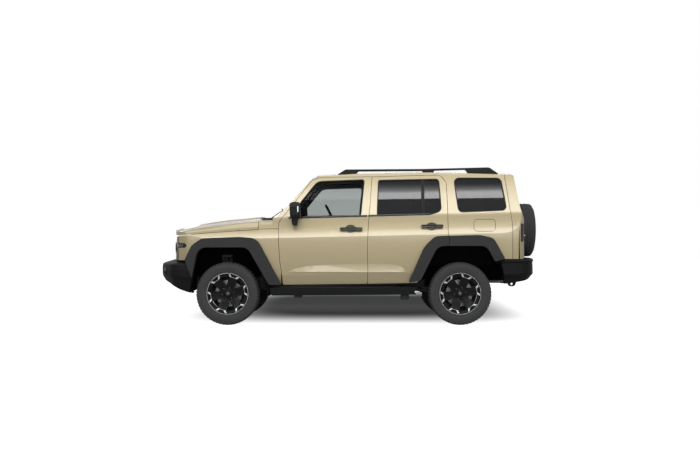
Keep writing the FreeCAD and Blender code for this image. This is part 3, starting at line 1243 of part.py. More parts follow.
def seat_shape(y, width, x, cushion_z, base_x, base_z):
    """One seat: its base with the cushion, and its back with the headrest, placed from the cushion's middle."""
    half = width / 2
    base = block(base_x, x + 180.0, y - half + 75.0, y + half - 75.0, base_z, cushion_z + 4.0)
    cushion = side_prism([(x + 250.0, cushion_z, 30.0), (x + 262.0, cushion_z + 125.0, 40.0),
                          (x - 190.0, cushion_z + 80.0, 20.0), (x - 290.0, cushion_z + 90.0, 20.0),
                          (x - 290.0, cushion_z - 4.0, 20.0)], y - half, y + half)
    back = side_prism([(x - 180.0, cushion_z + 60.0, 20.0), (x - 340.0, cushion_z + 740.0, 40.0),
                       (x - 430.0, cushion_z + 730.0, 40.0), (x - 320.0, cushion_z + 40.0, 40.0)],
                      y - half, y + half)
    rest = side_prism([(x - 360.0, cushion_z + 758.0, 24.0), (x - 382.0, cushion_z + 908.0, 30.0),
                       (x - 462.0, cushion_z + 900.0, 30.0), (x - 446.0, cushion_z + 752.0, 24.0)],
                      y - HEADREST_HALF, y + HEADREST_HALF)
    stems = []
    for side in (1, -1):
        stems.append(rod((x - 385.0, y + side * 45.0, cushion_z + 700.0),
                         (x - 410.0, y + side * 45.0, cushion_z + 790.0), 7.0))
    lower = fuse([base, cushion])
    return lower, fuse([back, rest] + stems).cut(lower)


def build_front_seats():
    """The two front seats."""
    floor_z = FLOOR_Z + FLOOR_THICKNESS + SEAT_GAP
    lower, upper = seat_shape(SEAT_HALF, SEAT_WIDTH, FRONT_SEAT_X, floor_z + 136.0, FRONT_SEAT_X - 250.0, floor_z)
    return both_sides(fuse([lower, upper]))


def build_bench():
    """The rear bench: its joined cushions, and its three backs."""
    floor_z = FLOOR_Z + FLOOR_THICKNESS + SEAT_GAP
    bench_z = REAR_FLOOR_Z + FLOOR_THICKNESS + 14.0
    cushions = [block(BENCH_X - 200.0, BENCH_X + 160.0, -BENCH_PLACE - 100.0, BENCH_PLACE + 100.0,
                      bench_z + 10.0, bench_z + 60.0)]
    backs = []
    for y in (-BENCH_PLACE, 0.0, BENCH_PLACE):
        lower, upper = seat_shape(y, BENCH_PLACE - 3.0, BENCH_X, bench_z, BENCH_X - 150.0, floor_z)
        cushions.append(lower)
        backs.append(upper)
    return fuse(cushions), Part.makeCompound(backs)


os.makedirs("parts", exist_ok=True)

cab = cab_outer()
for panel_name, panel_shape in cab_panels(build_cab(cab)).items():
    export(panel_name, panel_shape)
wing = build_fenders()
export("front_fenders", both_sides(wing))
export("hood", build_hood())
quarter_pane = side_glass(cab, [QUARTER_WINDOW])
export("fixed_glass", Part.makeCompound([build_windscreen(cab), quarter_pane, mirror(quarter_pane)]))
export("tailgate", build_tailgate(cab))
export("tailgate_glass", build_tail_glass(cab))
export("fuel_flap", build_fuel_flap(cab))

front_door = build_door(cab, FRONT_DOOR, [FRONT_WINDOW])
rear_door = build_door(cab, REAR_DOOR, [REAR_WINDOW, REAR_VENT])
swage = swage_volume()
front_door = largest_of(front_door.fuse(swage.common(drafted_prism(FRONT_DOOR))))
rear_door = largest_of(rear_door.fuse(swage.common(drafted_prism(REAR_DOOR))))
front_glass = side_glass(cab, [FRONT_WINDOW])
rear_glass = side_glass(cab, [REAR_WINDOW, REAR_VENT])
for tag, hand in (("left", lambda s: s), ("right", mirror)):
    export("door_front_" + tag, hand(front_door))
    export("door_rear_" + tag, hand(rear_door))
    export("door_glass_front_" + tag, hand(front_glass))
    export("door_glass_rear_" + tag, hand(rear_glass))

door_zone = drafted_prism(REAR_DOOR)
body_zone = block(-3000.0, 3000.0, 700.0, 1100.0, 0.0, 2000.0).cut(drafted_prism(REAR_DOOR, SHUT_GAP))
skin_side = raked_prism(SKIN, -2250.0, 2250.0).common(plan_volume())
rear_seat_skin = skin_side.cut(side_prism(arch_outline(ARCH_REAR_OPENING, REAR_AXLE_X, ARCH_LIP), 500.0, 1100.0))
front_seat_skin = skin_side.cut(side_prism(arch_outline(ARCH_FRONT_OPENING, FRONT_AXLE_X, ARCH_LIP), 500.0, 1100.0))
front_keep = block(0.0, 3000.0, 700.0, 1100.0, 0.0, 2000.0).cut(drafted_prism(FRONT_DOOR, SHUT_GAP))
front_flare = build_flare(ARCH_FRONT_OPENING, ARCH_FRONT_FLARE, FRONT_AXLE_X, front_seat_skin, front_keep)
rear_flare = build_flare(ARCH_REAR_OPENING, ARCH_REAR_FLARE, REAR_AXLE_X, rear_seat_skin, body_zone)
door_flare = build_flare(ARCH_REAR_OPENING, ARCH_REAR_FLARE, REAR_AXLE_X, rear_seat_skin, door_zone)
export("arch_flares", Part.makeCompound([both_sides(front_flare), both_sides(rear_flare)]))
export("door_flare_left", door_flare)
export("door_flare_right", mirror(door_flare))

export("grille_panel", build_grille())
export("headlamps", build_headlamps())
lamp = solids_of(cab.common(tail_lamp_volume(0.0)))
export("tail_lamps", both_sides(lamp))
export("front_bumper", build_front_bumper())
export("rear_bumper", build_rear_bumper())
export("front_liners", build_liners())
export("side_steps", build_steps())
roof_rail = build_roof_rails().cut(cab)
export("roof_rails", both_sides(largest_of(roof_rail)))
export("spare_wheel", build_spare())
door_mirror = build_mirror().cut(skin_side)
door_mirror = largest_of(door_mirror)
export("mirror_left", door_mirror)
export("mirror_right", mirror(door_mirror))

rails = build_chassis()
export("chassis_frame", rails)
export("frame_brackets", build_frame_brackets(rails))
export("cross_members", build_cross_members())
export("powertrain", build_powertrain())
export("fuel_tank", build_fuel_tank())
export("exhaust", build_exhaust())
export("front_suspension", build_front_suspension())
export("rear_axle", build_rear_axle())
knuckle = build_knuckle(FRONT_AXLE_X)
export("knuckle_left", knuckle)
export("knuckle_right", mirror(knuckle))
for place, x in (("front", FRONT_AXLE_X), ("rear", REAR_AXLE_X)):
    tyre = build_tyre(x, TRACK_HALF)
    rim = build_rim(x, TRACK_HALF, SPINDLE_RADIUS + 0.06)
    export("tyre_" + place + "_left", tyre)
    export("tyre_" + place + "_right", mirror(tyre))
    export("rim_" + place + "_left", rim)
    export("rim_" + place + "_right", mirror(rim))

export("dashboard", build_dashboard())
export("steering_wheel", build_steering_wheel())
export("front_seats", build_front_seats())
bench_cushion, bench_backs = build_bench()
export("bench_cushion", bench_cushion)
export("bench_backs", bench_backs)
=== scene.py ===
"""Looks of a lifted off-road 4x4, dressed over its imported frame.

Frame: +X forward, +Y to the vehicle's left, +Z up, metres, the ground at zero.
"""

from __future__ import annotations

import json
import logging
import math
from collections.abc import Callable, Iterable, Iterator, Sequence
from contextlib import contextmanager
from dataclasses import dataclass, field
from enum import Enum
from typing import ClassVar

import bpy
from mathutils import Matrix, Vector
from mathutils.bvhtree import BVHTree

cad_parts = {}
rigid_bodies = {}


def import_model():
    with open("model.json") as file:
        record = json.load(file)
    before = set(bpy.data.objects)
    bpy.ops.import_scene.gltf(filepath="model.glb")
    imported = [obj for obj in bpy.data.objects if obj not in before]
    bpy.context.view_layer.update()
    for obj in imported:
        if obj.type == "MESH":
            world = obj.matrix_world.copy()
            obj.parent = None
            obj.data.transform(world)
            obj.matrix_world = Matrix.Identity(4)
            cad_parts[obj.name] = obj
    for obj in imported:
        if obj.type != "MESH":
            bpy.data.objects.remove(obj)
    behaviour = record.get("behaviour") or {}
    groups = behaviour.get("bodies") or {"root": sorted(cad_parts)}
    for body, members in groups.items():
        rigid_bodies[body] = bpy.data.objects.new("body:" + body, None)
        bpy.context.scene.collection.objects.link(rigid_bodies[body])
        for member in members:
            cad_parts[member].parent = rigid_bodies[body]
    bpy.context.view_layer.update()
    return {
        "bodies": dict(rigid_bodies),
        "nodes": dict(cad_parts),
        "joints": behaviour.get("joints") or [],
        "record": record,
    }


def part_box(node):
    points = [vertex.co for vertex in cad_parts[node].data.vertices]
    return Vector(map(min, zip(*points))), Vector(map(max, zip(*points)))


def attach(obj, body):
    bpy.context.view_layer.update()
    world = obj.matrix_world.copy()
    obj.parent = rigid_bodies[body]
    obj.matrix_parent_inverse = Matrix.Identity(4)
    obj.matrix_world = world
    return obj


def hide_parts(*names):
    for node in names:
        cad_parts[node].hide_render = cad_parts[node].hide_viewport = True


LOG = logging.getLogger("off_roader")
Piece = bpy.types.Object
# A point of a drawing, a place in space, and an outline's corner with its radius.
Point = tuple[float, float]
Spot = tuple[float, float, float]
Corner = tuple[float, float, float]
ORIGIN: Spot = (0.0, 0.0, 0.0)
# Vertices that lie closer than this are merged.
MERGE = 0.00002


class Side(Enum):
    """The two sides of the vehicle, with the sign of their Y."""

    LEFT = 1.0
    RIGHT = -1.0

    @property
    def tag(self) -> str:
        """The side's name as the frame's nodes spell it."""
        return self.name.lower()


class Grain(Enum):
    """Surface textures that a finish may have."""

    SMOOTH = "smooth"
    PEBBLE = "pebble"
    WEAVE = "weave"
    BRUSHED = "brushed"


def add_node(tree: bpy.types.NodeTree, kind: str, inputs: dict[str, object] | None = None,
             **settings: object) -> bpy.types.Node:
    """Add a shader node.

    Args:
        tree: The node tree that it goes into.
        kind: Its type, without the word ShaderNode.
        inputs: The values of its inputs, by name.
        **settings: The node's own settings.

    Returns:
        The new node.
    """
    node = tree.nodes.new("ShaderNode" + kind)
    for setting, value in settings.items():
        setattr(node, setting, value)
    for socket, value in (inputs or {}).items():
        node.inputs[socket].default_value = value
    return node


def connect(tree: bpy.types.NodeTree,
            *links: tuple[bpy.types.Node, str, bpy.types.Node, str | int]) -> None:
    """Link nodes, each link given as a node, its output, the next node and that one's input."""
    for source, output, target, entry in links:
        tree.links.new(source.outputs[output], target.inputs[entry])


def grain_group(grain: Grain) -> bpy.types.NodeTree:
    """Build, or find, the node group of one surface texture.

    Args:
        grain: The texture wanted.

    Returns:
        A shader node group with a Size input, and Height and Mask outputs.
    """
    name = "texture_" + grain.value
    if name in bpy.data.node_groups:
        return bpy.data.node_groups[name]
    group = bpy.data.node_groups.new(name, "ShaderNodeTree")
    for socket, flow in (("Size", "INPUT"), ("Height", "OUTPUT"), ("Mask", "OUTPUT")):
        group.interface.new_socket(socket, in_out=flow, socket_type="NodeSocketFloat")
    entry, leave = group.nodes.new("NodeGroupInput"), group.nodes.new("NodeGroupOutput")
    place = add_node(group, "TexCoord")
    stretch = add_node(group, "Mapping")
    if grain is Grain.BRUSHED:
        stretch.inputs["Scale"].default_value = (0.05, 1.0, 1.0)
    cloud = add_node(group, "TexNoise", {"Scale": 3.5, "Detail": 5.0})
    connect(group, (place, "Object", stretch, "Vector"), (place, "Object", cloud, "Vector"),
            (cloud, "Fac", leave, "Mask"))
    if grain is Grain.WEAVE:
        height = add_node(group, "Math", operation="MAXIMUM")
        for index, axis in enumerate("XZ"):
            wave = add_node(group, "TexWave", bands_direction=axis)
            connect(group, (stretch, "Vector", wave, "Vector"), (entry, "Size", wave, "Scale"),
                    (wave, "Fac", height, index))
        connect(group, (height, "Value", leave, "Height"))
    else:
        speckle = add_node(group, "TexNoise", {"Detail": 3.0})
        connect(group, (stretch, "Vector", speckle, "Vector"), (entry, "Size", speckle, "Scale"),
                (speckle, "Fac", leave, "Height"))
    return group


@dataclass(frozen=True)
class Finish:
    """One finish: its colour, gloss and texture."""

    name: str
    slot: str
    colour: tuple[float, float, float]
    metallic: float = 0.0
    roughness: float = 0.5
    coat: float = 0.0
    coat_ior: float = 1.5
    ior: float = 1.45
    transmission: float = 0.0
    grain: Grain = Grain.SMOOTH
    grain_scale: float = 400.0
    grain_depth: float = 0.0
    mottle: float = 0.0
    glow: float = 0.0
    coat_roughness: float = 0.13

    def material(self) -> bpy.types.Material:
        """Build this finish's material, or find it if it is already there.

        Returns:
            The material.
        """
        if self.name in bpy.data.materials:
            return bpy.data.materials[self.name]
        material = bpy.data.materials.new(self.name)
        material.use_nodes = True
        plain = (*self.colour, 1.0)
        material.diffuse_color = plain
        tree = material.node_tree
        shader = tree.nodes["Principled BSDF"]
        values = {"Base Color": plain, "Metallic": self.metallic, "Roughness": self.roughness,
                  "IOR": self.ior, "Transmission Weight": self.transmission, "Coat Weight": self.coat,
                  "Coat IOR": self.coat_ior, "Coat Roughness": self.coat_roughness}
        if self.glow:
            values |= {"Emission Color": plain, "Emission Strength": self.glow}
        for socket, value in values.items():
            shader.inputs[socket].default_value = value
        if self.grain is Grain.SMOOTH and not self.mottle:
            return material
        texture = add_node(tree, "Group", node_tree=grain_group(self.grain))
        texture.inputs["Size"].default_value = self.grain_scale
        if self.grain_depth:
            bump = add_node(tree, "Bump", {"Distance": self.grain_depth})
            connect(tree, (texture, "Height", bump, "Height"), (bump, "Normal", shader, "Normal"))
        if self.mottle:
            dark, pale = ((*(min(1.0, c * (1.0 + change)) for c in self.colour), 1.0)
                          for change in (-self.mottle, self.mottle))
            blend = add_node(tree, "Mix", {"A": dark, "B": pale}, data_type="RGBA")
            connect(tree, (texture, "Mask", blend, "Factor"), (blend, "Result", shader, "Base Color"))
        return material


SAND_PAINT = Finish("sand_paint", "paint", (0.53, 0.44, 0.255), metallic=0.35, roughness=0.36, coat=1.0,
                    coat_ior=1.6, mottle=0.01)
# Darker paint in the finger dishes behind the door handles: painted shade in the recess.
DISH_PAINTED_SHADE = Finish("recess_paint", "paint", (0.20, 0.17, 0.11), roughness=0.5, mottle=0.05)
CLADDING = Finish("arch_plastic", "black_plastic", (0.026, 0.026, 0.027), roughness=0.6,
                  grain=Grain.PEBBLE, grain_scale=900.0, grain_depth=0.0004)
BUMPER_PLASTIC = Finish("bumper_plastic", "black_plastic", (0.007, 0.007, 0.007), roughness=0.55, ior=1.3,
                        grain=Grain.PEBBLE, grain_scale=900.0, grain_depth=0.0003)
GLOSS_BLACK = Finish("gloss_black", "black_plastic", (0.010, 0.010, 0.010), roughness=0.16, coat=0.6)
SATIN_BLACK = Finish("satin_black", "black_plastic", (0.010, 0.010, 0.010), roughness=0.38, ior=1.33,
                     mottle=0.1)
SEAL_RUBBER = Finish("window_seal", "black_plastic", (0.010, 0.010, 0.010), roughness=0.6)
CLEAR_GLASS = Finish("front_glass", "glass", (0.55, 0.58, 0.57), roughness=0.0, ior=1.18, transmission=1.0)
PRIVACY_GLASS = Finish("privacy_glass", "glass", (0.045, 0.048, 0.048), roughness=0.04, ior=1.64,
                       transmission=1.0)
TYRE_RUBBER = Finish("tyre_rubber", "tyre", (0.056, 0.056, 0.056), roughness=0.75,
                     grain=Grain.PEBBLE, grain_scale=350.0, grain_depth=0.0004, mottle=0.12)
WHEEL_BLACK = Finish("wheel_black", "wheel_alloy", (0.006, 0.006, 0.006), roughness=0.34, coat=0.1, ior=1.3,
                     mottle=0.1)
MACHINED = Finish("machined_alloy", "wheel_alloy", (0.92, 0.92, 0.92), metallic=0.45, roughness=0.36,
                  grain=Grain.BRUSHED, grain_scale=600.0, grain_depth=0.0001)
DISC_STEEL = Finish("brake_steel", "wheel_alloy", (0.42, 0.42, 0.42), metallic=1.0, roughness=0.35)
CHASSIS_BLACK = Finish("chassis_black", "frame_steel", (0.016, 0.016, 0.016), roughness=0.5, mottle=0.2)
CASTING = Finish("raw_casting", "casting", (0.20, 0.20, 0.20), metallic=0.7, roughness=0.55,
                 grain=Grain.PEBBLE, grain_scale=500.0, grain_depth=0.0008, mottle=0.15)
STEEL = Finish("bare_steel", "frame_steel", (0.35, 0.35, 0.35), metallic=1.0, roughness=0.4, mottle=0.1)
CABIN_PLASTIC = Finish("cabin_plastic", "black_plastic", (0.022, 0.022, 0.023), roughness=0.6,
                       grain=Grain.PEBBLE, grain_scale=700.0, grain_depth=0.0003)
SEAT_CLOTH = Finish("seat_cloth", "fabric", (0.055, 0.053, 0.050), roughness=0.85,
                    grain=Grain.WEAVE, grain_scale=260.0, grain_depth=0.0005, mottle=0.08)
LENS = Finish("clear_lens", "lamp", (0.92, 0.94, 0.95), roughness=0.02, transmission=1.0)
CHROME = Finish("lamp_chrome", "lamp", (0.85, 0.86, 0.88), metallic=1.0, roughness=0.08)
WHITE_LED = Finish("white_diffuser", "lamp", (0.85, 0.87, 0.90), roughness=0.3, glow=0.25)
RED_LENS = Finish("red_lens", "lamp_red", (0.16, 0.006, 0.006), roughness=0.1, coat=0.8)
BLANK_PLATE = Finish("blank_plate", "frame_steel", (0.72, 0.72, 0.70), roughness=0.45, mottle=0.03)
LINER = Finish("arch_liner", "black_plastic", (0.004, 0.004, 0.004), roughness=0.95, ior=1.2, mottle=0.2)
MIRROR_GLASS = Finish("mirror_glass", "glass", (0.82, 0.84, 0.86), metallic=1.0, roughness=0.03)


def start() -> None:
    """Leave edit mode and deselect everything, as is done before a primitive is added."""
    if bpy.context.object and bpy.context.object.mode != "OBJECT":
        bpy.ops.object.mode_set(mode="OBJECT")
    bpy.ops.object.select_all(action="DESELECT")


def choose(piece: Piece) -> Piece:
    """Select one piece alone and make it the active one.

    Args:
        piece: The piece.

    Returns:
        The same piece.
    """
    start()
    piece.select_set(True)
    bpy.context.view_layer.objects.active = piece
    return piece


@contextmanager
def editing(piece: Piece) -> Iterator[None]:
    """Hold a piece in edit mode for the length of a with block.

    Args:
        piece: The piece, its whole mesh selected when the block starts.

    Yields:
        Nothing, once for the block.
    """
    choose(piece)
    bpy.ops.object.mode_set(mode="EDIT")
    bpy.ops.mesh.select_all(action="SELECT")
    yield
    bpy.ops.object.mode_set(mode="OBJECT")


def right_side_out(piece: Piece) -> Piece:
    """Turn a piece's faces outwards.

    Args:
        piece: The piece, which is changed.

    Returns:
        The same piece.
    """
    with editing(piece):
        bpy.ops.mesh.normals_make_consistent(inside=False)
    return piece


def settle(piece: Piece, name: str) -> Piece:
    """Name a piece and put its place into its mesh.

    Args:
        piece: The piece.
        name: Its name, also its mesh's.

    Returns:
        The same piece, its object at the origin.
    """
    piece.name = name
    piece.data.name = name
    choose(piece)
    bpy.ops.object.transform_apply(location=True, rotation=True, scale=True)
    return piece


def modify(piece: Piece, kind: str, **settings: object) -> Piece:
    """Add one modifier to a piece and apply it.

    Args:
        piece: The piece that is modified.
        kind: The modifier's type, as Blender spells it.
        **settings: The modifier's settings.

    Returns:
        The same piece.
    """
    choose(piece)
    modifier = piece.modifiers.new(kind.title(), kind)
    for setting, value in settings.items():
        setattr(modifier, setting, value)
    bpy.ops.object.modifier_apply(modifier=modifier.name)
    return piece


def round_edges(piece: Piece, width: float, steps: int = 2, angle: float = 30.0) -> Piece:
    """Round the edges that turn by more than an angle in degrees, by a width in metres."""
    return modify(piece, "BEVEL", width=width, segments=steps, limit_method="ANGLE",
                  angle_limit=math.radians(angle))


def smooth(piece: Piece, angle: float = 30.0) -> Piece:
    """Shade a piece smooth, but for the edges that turn by more than an angle in degrees.

    Args:
        piece: The piece, which is changed.
        angle: The largest turn that stays smooth.

    Returns:
        The same piece.
    """
    choose(piece)
    bpy.ops.object.shade_smooth_by_angle(angle=math.radians(angle))
    return piece


def dress(piece: Piece, finish: Finish) -> Piece:
    """Give a whole piece one finish.

    Args:
        piece: The piece, which is changed.
        finish: Its finish.

    Returns:
        The same piece.
    """
    piece.data.materials.clear()
    piece.data.materials.append(finish.material())
    return piece


def block(name: str, low: Sequence[float], high: Sequence[float], width: float = 0.0,
          steps: int = 2) -> Piece:
    """Model a box.

    Args:
        name: The piece's name.
        low: Its lowest corner.
        high: Its highest corner.
        width: How far its edges are rounded; at zero they stay sharp.
        steps: Facets of a rounded edge.

    Returns:
        The box.
    """
    start()
    bpy.ops.mesh.primitive_cube_add(size=1.0, location=[(a + b) / 2 for a, b in zip(low, high)])
    piece = bpy.context.object
    piece.scale = [b - a for a, b in zip(low, high)]
    settle(piece, name)
    return round_edges(piece, width, steps) if width else piece


def bar(name: str, begin: Sequence[float], end: Sequence[float], radius: float, sides: int = 24,
        width: float = 0.0) -> Piece:
    """Model a round bar.

    Args:
        name: The piece's name.
        begin: One end of its axis.
        end: The other end.
        radius: Its radius.
        sides: Facets round it.
        width: How far its edges are rounded; at zero they stay sharp.

    Returns:
        The bar.
    """
    along = Vector(end) - Vector(begin)
    start()
    bpy.ops.mesh.primitive_cylinder_add(vertices=sides, radius=radius, depth=along.length,
                                        location=(Vector(begin) + Vector(end)) / 2,
                                        rotation=along.to_track_quat("Z", "Y").to_euler())
    piece = settle(bpy.context.object, name)
    return round_edges(piece, width, 2) if width else piece


def edge_ring(spots: Iterable[Sequence[float]], fill: str = "NOTHING") -> Piece:
    """Model a closed ring of edges.

    Args:
        spots: The places of its corners, in order.
        fill: NGON where a face fills the ring.

    Returns:
        The ring, not yet named.
    """
    places = list(spots)
    start()
    bpy.ops.mesh.primitive_circle_add(vertices=len(places), fill_type=fill)
    for vertex, place in zip(bpy.context.object.data.vertices, places):
        vertex.co = place
    return bpy.context.object


def plate(name: str, spots: Iterable[Sequence[float]], along: Sequence[float]) -> Piece:
    """Model a flat plate.

    Args:
        name: The piece's name.
        spots: The corners of one face, in order.
        along: The way to the other face.

    Returns:
        The closed plate.
    """
    piece = edge_ring(spots, "NGON")
    with editing(piece):
        bpy.ops.mesh.extrude_region_move(TRANSFORM_OT_translate={"value": along})
    return settle(right_side_out(piece), name)


def turned(name: str, profile: Iterable[Point], centre: Sequence[float] = ORIGIN, axis: str = "Y",
           steps: int = 96) -> Piece:
    """Model a turned piece by spinning a closed profile.

    Args:
        name: The piece's name.
        profile: Closed ring of (distance along the axis, radius).
        centre: A point of the axis.
        axis: X or Y.
        steps: Facets round the axis.

    Returns:
        The closed piece.
    """
    middle = Vector(centre)
    turn = Vector((1.0, 0.0, 0.0) if axis == "X" else (0.0, 1.0, 0.0))
    piece = edge_ring(middle + turn * along + Vector((0.0, 0.0, radius)) for along, radius in profile)
    with editing(piece):
        bpy.ops.mesh.spin(steps=steps, angle=math.tau, center=middle, axis=turn)
        bpy.ops.mesh.select_all(action="SELECT")
        bpy.ops.mesh.remove_doubles(threshold=MERGE)
    return settle(right_side_out(piece), name)


def tube(name: str, spots: Sequence[Sequence[float]], radius: float) -> Piece:
    """Model a bent bar, as a bevelled curve that is made a mesh.

    Args:
        name: The piece's name.
        spots: Control points of its axis; it starts at the first and ends at the last.
        radius: Its radius.

    Returns:
        The closed bar.
    """
    curve = bpy.data.curves.new(name, "CURVE")
    curve.dimensions = "3D"
    curve.bevel_depth = radius
    curve.bevel_resolution = 4
    curve.resolution_u = 8
    curve.use_fill_caps = True
    spline = curve.splines.new("NURBS")
    spline.points.add(len(spots) - 1)
    for point, spot in zip(spline.points, spots):
        point.co = (*spot, 1.0)
    spline.order_u = 3
    spline.use_endpoint_u = True
    piece = bpy.data.objects.new(name, curve)
    bpy.context.collection.objects.link(piece)
    choose(piece)
    bpy.ops.object.convert(target="MESH")
    piece = settle(bpy.context.object, name)
    with editing(piece):
        bpy.ops.mesh.remove_doubles(threshold=MERGE)
    return right_side_out(piece)


def join(name: str, pieces: Iterable[Piece]) -> Piece:
    """Join several pieces into one.

    Args:
        name: The new piece's name.
        pieces: The pieces, each with its finish; the first one takes in the others.

    Returns:
        The joined piece.
    """
    group = list(pieces)
    choose(group[0])
    for piece in group[1:]:
        piece.select_set(True)
    bpy.ops.object.join()
    group[0].name = name
    group[0].data.name = name
    return group[0]


def copy(piece: Piece, name: str, matrix: Matrix) -> Piece:
    """Copy a piece with its own mesh.

    Args:
        piece: The piece that is copied.
        name: The copy's name.
        matrix: Where the copy goes, and whether it is mirrored.

    Returns:
        The copy, right side out.
    """
    double = piece.copy()
    double.data = piece.data.copy()
    bpy.context.collection.objects.link(double)
    double.matrix_world = matrix @ piece.matrix_world
    settle(double, name)
    return right_side_out(double) if matrix.determinant() < 0.0 else double


def mirrored(piece: Piece, name: str) -> Piece:
    """Copy a piece of the left side to the right side."""
    return copy(piece, name, Matrix.Scale(-1.0, 4, (0.0, 1.0, 0.0)))


def ring_of(piece: Piece, name: str, count: int, centre: Sequence[float] = ORIGIN, axis: str = "Y") -> Piece:
    """Repeat a piece round an axis, as an array about a turned empty.

    Args:
        piece: The piece that is repeated, which becomes the ring.
        name: The ring's name.
        count: How many there are in all.
        centre: A point of the axis.
        axis: X or Y.

    Returns:
        The ring.
    """
    place = Matrix.Translation(Vector(centre))
    turn = place @ Matrix.Rotation(math.tau / count, 4, axis) @ place.inverted()
    guide = bpy.data.objects.new(name + "_guide", None)
    bpy.context.collection.objects.link(guide)
    guide.matrix_world = turn
    bpy.context.view_layer.update()
    modify(piece, "ARRAY", use_relative_offset=False, use_object_offset=True, offset_object=guide,
           count=count)
    bpy.data.objects.remove(guide)
    return settle(piece, name)


def rounded(corners: Sequence[Corner], steps: int = 5, fill: int = 4) -> list[Point]:
    """Turn corners given in millimetres as (u, v, radius) into an outline in metres.

    Args:
        corners: The outline's corners with their radii.
        steps: Chords in each corner's arc.
        fill: Points set along each straight edge, so that the outline can follow a curved skin.

    Returns:
        The outline; outlines of like corners have as many points.
    """
    arcs: list[list[Vector]] = []
    for index, (u, v, radius) in enumerate(corners):
        here = Vector((u, v))
        back = Vector(corners[index - 1][:2]) - here
        ahead = Vector(corners[(index + 1) % len(corners)][:2]) - here
        turn = math.pi - back.angle(ahead)
        if radius <= 0 or turn < 0.01:
            arcs.append([here])
            continue
        reach = min(radius * math.tan(turn / 2), 0.48 * back.length, 0.48 * ahead.length)
        bend = reach / math.tan(turn / 2)
        first = here + back.normalized() * reach
        last = here + ahead.normalized() * reach
        middle = here + (back.normalized() + ahead.normalized()).normalized() * (bend / math.cos(turn / 2))
        spread = (first - middle).angle_signed(last - middle)
        arc: list[Vector] = []
        for step in range(steps + 1):
            arm = (first - middle).copy()
            arm.rotate(Matrix.Rotation(-spread * step / steps, 2))
            arc.append(middle + arm)
        arcs.append(arc)
    outline: list[Point] = []
    for arc, following in zip(arcs, [*arcs[1:], arcs[0]]):
        outline.extend((spot.x / 1000, spot.y / 1000) for spot in arc)
        for step in range(1, fill + 1):
            spot = arc[-1].lerp(following[0], step / (fill + 1))
            outline.append((spot.x / 1000, spot.y / 1000))
    return outline


# Half section of the body side at x = 0: half width and height; the section drops by RAKE forward.
SKIN: tuple[Point, ...] = ((0.872, 0.470), (0.908, 0.600), (0.918, 0.850), (0.925, 1.050), (0.906, 1.108),
                           (0.886, 1.283), (0.843, 1.520), (0.786, 1.758), (0.700, 1.832))
RAKE = 0.022


def skin_y(x: float, z: float) -> float:
    """Half width of the body side at a point of the side view.

    Args:
        x: The point's distance forward.
        z: Its height.

    Returns:
        The distance from the middle plane to the skin.
    """
    level = z + RAKE * x
    for (y0, z0), (y1, z1) in zip(SKIN, SKIN[1:]):
        if level <= z1:
            share = max(0.0, (level - z0) / (z1 - z0))
            return y0 + share * (y1 - y0)
    return SKIN[-1][0]


# Half plan of the body at both ends: forward distance, half width and corner radius in millimetres.
NOSE_PLAN: tuple[Corner, ...] = ((1560, 932, 1500), (1900, 906, 300), (2030, 850, 90), (2078, 690, 300),
                                 (2132, 360, 900))
TAIL_PLAN: tuple[Corner, ...] = ((-1500, 940, 900), (-1900, 922, 500), (-2068, 896, 90), (-2112, 700, 200),
                                 (-2124, 300, 0))


def hull_y(x: float, z: float) -> float:
    """Half width of the body, its rounded corners at nose and tail counted.

    Args:
        x: A point's distance forward.
        z: Its height.

    Returns:
        The distance from the middle plane to the body's outline or skin, whichever is nearer.
    """
    spots = rounded(NOSE_PLAN if x > 0.0 else TAIL_PLAN, 8)
    for (x0, y0), (x1, y1) in zip(spots, spots[1:]):
        if min(x0, x1) <= x <= max(x0, x1) and abs(x1 - x0) > 1e-9:
            return min(skin_y(x, z), y0 + (x - x0) / (x1 - x0) * (y1 - y0))
    return skin_y(x, z)


def sheet(name: str, columns: int, rows: int, place: Callable[[float, float], Sequence[float]], depth: float,
          offset: float) -> Piece:
    """Model a curved sheet: a grid laid on a surface and given a thickness.

    Args:
        name: The piece's name.
        columns: Facets one way.
        rows: Facets the other way.
        place: Gives a point of the surface from two shares between 0 and 1.
        depth: The sheet's thickness.
        offset: To which side of the surface it grows, 1.0 or -1.0.

    Returns:
        The closed sheet.
    """
    start()
    bpy.ops.mesh.primitive_grid_add(x_subdivisions=columns, y_subdivisions=rows, size=2.0)
    piece = bpy.context.object
    for vertex in piece.data.vertices:
        vertex.co = place(0.5 * (vertex.co.x + 1.0), 0.5 * (vertex.co.y + 1.0))
    modify(piece, "SOLIDIFY", thickness=depth, offset=offset)
    return settle(right_side_out(piece), name)


def wrap(name: str, reach: Point, levels: Callable[[float], Point], proud: float, depth: float,
         steps: int = 16, rows: int = 2) -> Piece:
    """Model a band laid on the left side of the body, round its corners.

    Args:
        name: The band's name.
        reach: Its ends along the body.
        levels: Gives its lower and upper edge at a distance along the body.
        proud: How far its face stands off the body.
        depth: Its thickness, inwards.
        steps: Facets along it.
        rows: Facets up it.

    Returns:
        The closed band.
    """
    def place(along: float, up: float) -> Spot:
        """A point of the band's face.

        Args:
            along: Share of the way along the band.
            up: Share of the way up it.

        Returns:
            The point.
        """
        x = reach[0] + along * (reach[1] - reach[0])
        low, high = levels(x)
        z = low + up * (high - low)
        return x, hull_y(x, z) + proud, z

    return sheet(name, steps, rows, place, depth, 1.0)


def on_skin(outline: Sequence[Point], proud: float) -> list[Spot]:
    """Lay an outline of the side view on the left body side, standing proud by a distance."""
    return [(x, skin_y(x, z) + proud, z) for x, z in outline]


